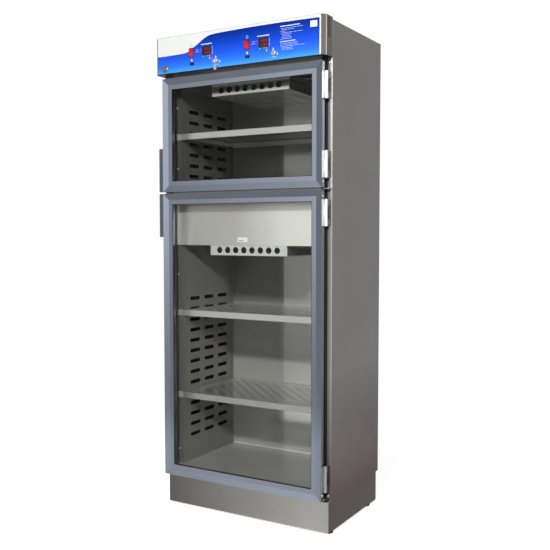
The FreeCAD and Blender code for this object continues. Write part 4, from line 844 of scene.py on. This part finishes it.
def letters(left, right, z, height, width, gap, breaks):  # a plain row of blocks
    bars = []
    x = left
    while x + width <= right:
        bars.append((x + width / 2, z, width, height))
        x += width + (gap * 3 if len(bars) in breaks else gap)
    return bars


def words(left, right, z, height, dice):  # a line of small print
    bars = []
    x = left
    while x < right - smallPrint["least"]:
        width = min(dice.uniform(*smallPrint["width"]), right - x)
        bars.append((x + width / 2, z, width, height))
        x += width + smallPrint["gap"]
    return bars


def scaleBars(x, z):  # the row of marks beside a display
    scale = groupPrint["scale"]
    wide, tall = scale["bar"]
    return [(x + scale["x"], z + scale["top"] - scale["pitch"] * step, wide, tall)
            for step in range(scale["steps"]) if step != scale["without"]]


def digitBars(text, x, z):
    bars = []
    halfWide, halfTall, stroke = readout["halfWide"], readout["halfTall"], readout["stroke"]
    for index, letter in enumerate(text):
        middle = x + (index - (len(text) - 1) / 2) * readout["pitch"]
        for key in shapes[letter]:
            u, v, level = segments[key]
            if level:
                bars.append((middle, z + v * halfTall, 2 * halfWide - stroke, stroke))
            else:
                bars.append((middle + u * halfWide, z + v * halfTall, stroke, halfTall - stroke))
    return bars


asBars = barTree()
whiteBars, paleBars, digits = [], [], []
dice = random.Random(smallPrint["seed"])
for left, right, z in textBlock["bold"]:
    whiteBars += letters(left, right, z, *textBlock["boldBlocks"])
for left, right, z in textBlock["plain"]:
    paleBars += words(left, right, z, textBlock["plainHeight"], dice)
for side in ("left", "right"):
    x, z = groups[side], groups["z"]
    left, right, up = groupPrint["title"]
    whiteBars += letters(x + left, x + right, z + up, *groupPrint["titleBlocks"])
    paleBars += scaleBars(x, z)
    for left, right, up, height in groupPrint["notes"]:
        paleBars += words(x + left, x + right, z + up, height, dice)
    for text, up in readout["rows"]:
        digits += digitBars(text, x, z + up)
printBars("consoleLettering", whiteBars, "white")
printBars("consoleSmallPrint", paleBars, "pale")
printBars("displayDigits", digits, "digits", readout["y"])


# Icons and labels are cut from flat outlines, in mm

sameSpot = 1e-7
iconSpots = {  # from the middle of a group
    "lamp": (-70.5, -30.8), "arrows": [(42.5, -28.4), (60, -46.2)], "power": (-70, 29),
}
badge = (322.6, 350.7, 1862.8, 1884.7)  # left, right, low, high of the white label
valanceLabel = {
    "plate": (-45, 1, 1094, 1113), "plateY": -0.1551, "plateThick": 0.15 * mm,
    "line": (-38, -18, 1098, 1101), "lineY": -0.15525, "lineThick": 0.05 * mm,
}


def arc(x, z, radius, start, end, steps):
    angles = [math.radians(start + (end - start) * index / steps) for index in range(steps + 1)]
    return [(x + radius * math.cos(a), z + radius * math.sin(a)) for a in angles]


def ring(x, z, outer, inner, start, end, steps):
    out, back = arc(x, z, outer, start, end, steps), arc(x, z, inner, start, end, steps)
    return [[out[index], out[index + 1], back[index + 1], back[index]] for index in range(steps)]


def oblong(left, right, low, high):
    return [(left, low), (right, low), (right, high), (left, high)]


def innerWall(face):  # a wall between two neighbouring slices of a ring
    flat = [edge for edge in face.edges
            if abs(edge.verts[0].co.y - edge.verts[1].co.y) < sameSpot]
    return abs(face.normal.y) < 0.5 and all(len(edge.link_faces) > 2 for edge in flat)


def cutLabels(name, outlines, finish, y=faceY, thick=ink["thick"]):
    build = bmesh.new()
    for outline in outlines:
        pairs = zip(outline, outline[1:] + outline[:1])
        twice = sum(a[0] * b[1] - b[0] * a[1] for a, b in pairs)  # twice its area
        ordered = outline if twice > 0 else list(reversed(outline))
        front = [build.verts.new((u * mm, y - thick, v * mm)) for u, v in ordered]
        back = [build.verts.new((u * mm, y, v * mm)) for u, v in ordered]
        build.faces.new(front)
        build.faces.new(list(reversed(back)))
        for index in range(len(ordered)):
            nextOne = (index + 1) % len(ordered)
            build.faces.new((front[nextOne], front[index], back[index], back[nextOne]))
    bmesh.ops.remove_doubles(build, verts=build.verts, dist=sameSpot)
    inner = [face for face in build.faces if innerWall(face)]
    bmesh.ops.delete(build, geom=inner, context="FACES_ONLY")
    piece = builtObject(name, build)
    piece.data.materials.append(finishes[finish])
    return rides(piece, "cabinet")


def powerIcon(x, z):
    bar = oblong(x - 0.6, x + 0.6, z + 1.4, z + 6.2)
    return ring(x, z, 4.9, 3.7, 118, 422, 18) + [bar]


def lampIcon(x, z):
    globe = arc(x - 0.8, z + 1.6, 3.5, 0, 330, 16)
    base = [(x + 0.2, z - 4.2), (x + 3.6, z - 4.2), (x + 3.6, z - 1.6), (x - 0.6, z - 1.6)]
    return [globe, base]


def keyArrow(x, z):
    return [arc(x, z, 2.6, 20, 340, 14), [(x - 1.6, z + 2.0), (x + 1.6, z + 2.0), (x, z + 6.4)],
            [(x - 2.2, z - 4.6), (x + 2.2, z - 4.6), (x + 1.4, z - 2.0), (x - 1.4, z - 2.0)]]


def startMark(x, z):  # the small funnel under the push buttons
    return [(x + 11.6, z - 27.2), (x + 17.2, z - 27.2), (x + 15.4, z - 33.0), (x + 13.4, z - 33.0)]


def groupSpot(side, offset):
    return groups[side] + offset[0], groups["z"] + offset[1]


marks = []
for side in ("left", "right"):
    marks += lampIcon(*groupSpot(side, iconSpots["lamp"]))
    for offset in iconSpots["arrows"]:
        marks += keyArrow(*groupSpot(side, offset))
    marks += [startMark(groups[side], groups["z"])]
marks += powerIcon(*groupSpot("right", iconSpots["power"]))
marks += [oblong(*badge)]
cutLabels("consoleMarks", marks, "white")
cutLabels("powerMark", powerIcon(*groupSpot("left", iconSpots["power"])), "faint")
cutLabels("valanceLabel", [oblong(*valanceLabel["plate"])], "white",
          valanceLabel["plateY"], valanceLabel["plateThick"])
cutLabels("valanceLabelLine", [oblong(*valanceLabel["line"])], "grey",
          valanceLabel["lineY"], valanceLabel["lineThick"])
print("console printed")


# Painted shade: dark sheets behind the round holes of the air ducts, standing in for the shade
# inside them: y, low and high in mm

ductShadeSheet = {
    "half": 174.0, "thick": 0.8 * mm,
    "upper": (-132.0, 1678.0, 1715.0), "lower": (-146.0, 1043.0, 1081.0),
}

for side in ("upper", "lower"):
    y, low, high = ductShadeSheet[side]
    outline = oblong(-ductShadeSheet["half"], ductShadeSheet["half"], low, high)
    cutLabels(side + "DuctScreen", [outline], "inlet", y * mm, ductShadeSheet["thick"])
print("duct shade sheets set")


# Feet: four moulded pads with ribbed sides

foot = {
    "sides": 28,
    "outline": [(0.0, 0.0), (16.0, 0.0), (17.4, 0.8), (18.0, 2.2), (17.2, 3.6), (17.9, 5.0),
                (17.2, 6.4), (17.9, 8.0), (17.2, 9.4), (15.8, 10.0), (5.0, 10.0), (5.0, 22.0),
                (0.0, 22.0)],  # radius and height in mm
}


def footPad():
    build = bmesh.new()
    rings = []
    for radius, height in foot["outline"]:
        angles = roundAngles(foot["sides"] if radius else 1)
        r = radius * mm
        rings.append([build.verts.new((r * math.cos(a), r * math.sin(a), height * mm))
                      for a in angles])
    skinRings(build, rings)
    return builtObject("footPad", build)


pad = footPad()
spots = [(((low.x + high.x) / 2, (low.y + high.y) / 2, 0.0), 0.0, 0.0)
         for low, high in islands("rubber_feet")]
scatter("rubberFeet", pad, "rubber", "cabinet", spots, ["rubber_feet"])
bpy.data.objects.remove(pad)
print("feet placed")


# Floor, lamps and surroundings

lowFade = (1.0, 1.0, 0.40, 0.58)
studio = {
    "floor": paint(238, 238, 237), "rough": 0.8, "grain": 40.0, "grainTone": 0.985,
    "radius": 1.7, "sides": 96, "fade": (0.9, 1.6), "lift": 0.80,
    "ambient": 0.16,  # the even light on the object
    "around": 0.30,  # what gloss sees where no lobe is
    "lobes": [  # towards, level by angle, level by height from below and from above
        ((-0.087, -0.996, 0.0), (0.0, 0.9, 0.72, 0.95), (0.0, 1.0, -0.22, -0.02),
         (1.0, 0.55, 0.38, 0.56)),
        ((0.819, -0.574, 0.0), (0.0, 1.3, 0.64, 0.94), (0.2, 1.0, -0.25, -0.08), lowFade),
        ((0.848, -0.530, 0.0), (0.0, 1.8, 0.966, 0.990), (0.0, 1.0, 0.00, 0.05), lowFade),
    ],
    "front": {"place": (0.6, -4.8, 2.3), "aim": (0.0, 0.0, 1.1), "size": (3.0, 2.2), "level": 0.3},
    "key": {"place": (1.6, -4.5, 3.3), "aim": (0.0, 0.0, 1.2), "size": (0.22, 0.22),
            "level": 1440.0},
    "edge": {"place": (4.2, -2.6, 1.3), "aim": (0.3, 0.0, 1.1), "size": (0.5, 3.0), "level": 2.0},
    "rear": {"place": (-2.6, 4.4, 2.6), "aim": (0.0, 0.0, 1.0), "size": (3.0, 2.2), "level": 0.8},
}


def softBox(name, spec):
    lamp = bpy.data.lights.new(name, "AREA")
    lamp.shape = "RECTANGLE"
    lamp.size, lamp.size_y = spec["size"]
    lamp.energy = spec["level"] * math.pi * lamp.size * lamp.size_y
    made = linked(name, lamp)
    made.location = spec["place"]
    towards = Vector(spec["aim"]) - Vector(spec["place"])
    made.rotation_euler = towards.to_track_quat("-Z", "Y").to_euler()
    made.visible_camera = False


# White behind the object, an even light on it, and a studio for gloss that is brightest in front

def surroundings():
    world = bpy.data.worlds.new("surroundings")
    bpy.context.scene.world = world
    world.use_nodes = True
    tree = world.node_tree
    rays = addNode(tree, "ShaderNodeLightPath").outputs
    direction = addNode(tree, "ShaderNodeTexCoord").outputs["Generated"]
    sockets = {0: direction, 1: (1, 1, 0)}
    flat = addNode(tree, "ShaderNodeVectorMath", sockets, operation="MULTIPLY").outputs[0]
    flat = addNode(tree, "ShaderNodeVectorMath", {0: flat}, operation="NORMALIZE").outputs[0]
    height = addNode(tree, "ShaderNodeSeparateXYZ", {"Vector": direction}).outputs["Z"]
    gloss = studio["around"]
    for towards, levels, low, high in studio["lobes"]:
        sockets = {0: flat, 1: towards}
        turned = addNode(tree, "ShaderNodeVectorMath", sockets, operation="DOT_PRODUCT")
        level = spread(tree, turned.outputs["Value"], *levels)
        ends = sums(tree, "MULTIPLY", spread(tree, height, *low), spread(tree, height, *high))
        gloss = sums(tree, "MAXIMUM", sums(tree, "MULTIPLY", level, ends), gloss)
    mirrored = sums(tree, "MULTIPLY", rays["Is Transmission Ray"],
                    sums(tree, "GREATER_THAN", rays["Glossy Depth"], 0.5))
    glossy = sums(tree, "MAXIMUM", rays["Is Glossy Ray"], mirrored)
    seen = sums(tree, "MAXIMUM", rays["Is Camera Ray"],
                sums(tree, "SUBTRACT", rays["Is Transmission Ray"], mirrored))
    change = sums(tree, "MULTIPLY", glossy, sums(tree, "SUBTRACT", gloss, studio["ambient"]))
    strength = sums(tree, "MAXIMUM", sums(tree, "ADD", change, studio["ambient"]), seen)
    back = tree.nodes["Background"]
    back.inputs["Color"].default_value = (1, 1, 1, 1)
    tree.links.new(strength, back.inputs["Strength"])


def floorMaterial():
    material, tree, shader, place = startMaterial("paleFloor", Roughness=studio["rough"])
    grain = cloud(tree, place, studio["grain"])
    tone = mixed(tree, grain, studio["floor"], lighter(studio["floor"], studio["grainTone"]))
    feed(tree, shader, "Base Color", tone)
    rays = addNode(tree, "ShaderNodeLightPath").outputs
    seen = sums(tree, "MAXIMUM", rays["Is Camera Ray"], rays["Is Transmission Ray"])
    glow = addNode(tree, "ShaderNodeEmission", {"Color": (1, 1, 1, 1)})
    tree.links.new(sums(tree, "MULTIPLY", seen, studio["lift"]), glow.inputs["Strength"])
    sockets = {0: shader.outputs["BSDF"], 1: glow.outputs["Emission"]}
    near = addNode(tree, "ShaderNodeAddShader", sockets)
    away = addNode(tree, "ShaderNodeVectorMath", {0: place}, operation="LENGTH").outputs["Value"]
    low, high = studio["fade"]
    rim = sums(tree, "MULTIPLY", spread(tree, away, 0.0, 1.0, low, high), seen)
    far = addNode(tree, "ShaderNodeEmission", {"Color": (1, 1, 1, 1), "Strength": 1.0})
    sockets = {0: rim, 1: near.outputs["Shader"], 2: far.outputs["Emission"]}
    both = addNode(tree, "ShaderNodeMixShader", sockets)
    tree.links.new(both.outputs["Shader"], tree.nodes["Material Output"].inputs["Surface"])
    return material


rimPoints = arc(0, 0, studio["radius"], 0, 360, studio["sides"])[:-1]
floor = meshObject("floor", [(x, y, 0) for x, y in rimPoints], (), [list(range(studio["sides"]))])
floor.data.materials.append(floorMaterial())
surroundings()
for name in ("front", "key", "edge", "rear"):
    softBox(name + "Lamp", studio[name])
print("studio lit")
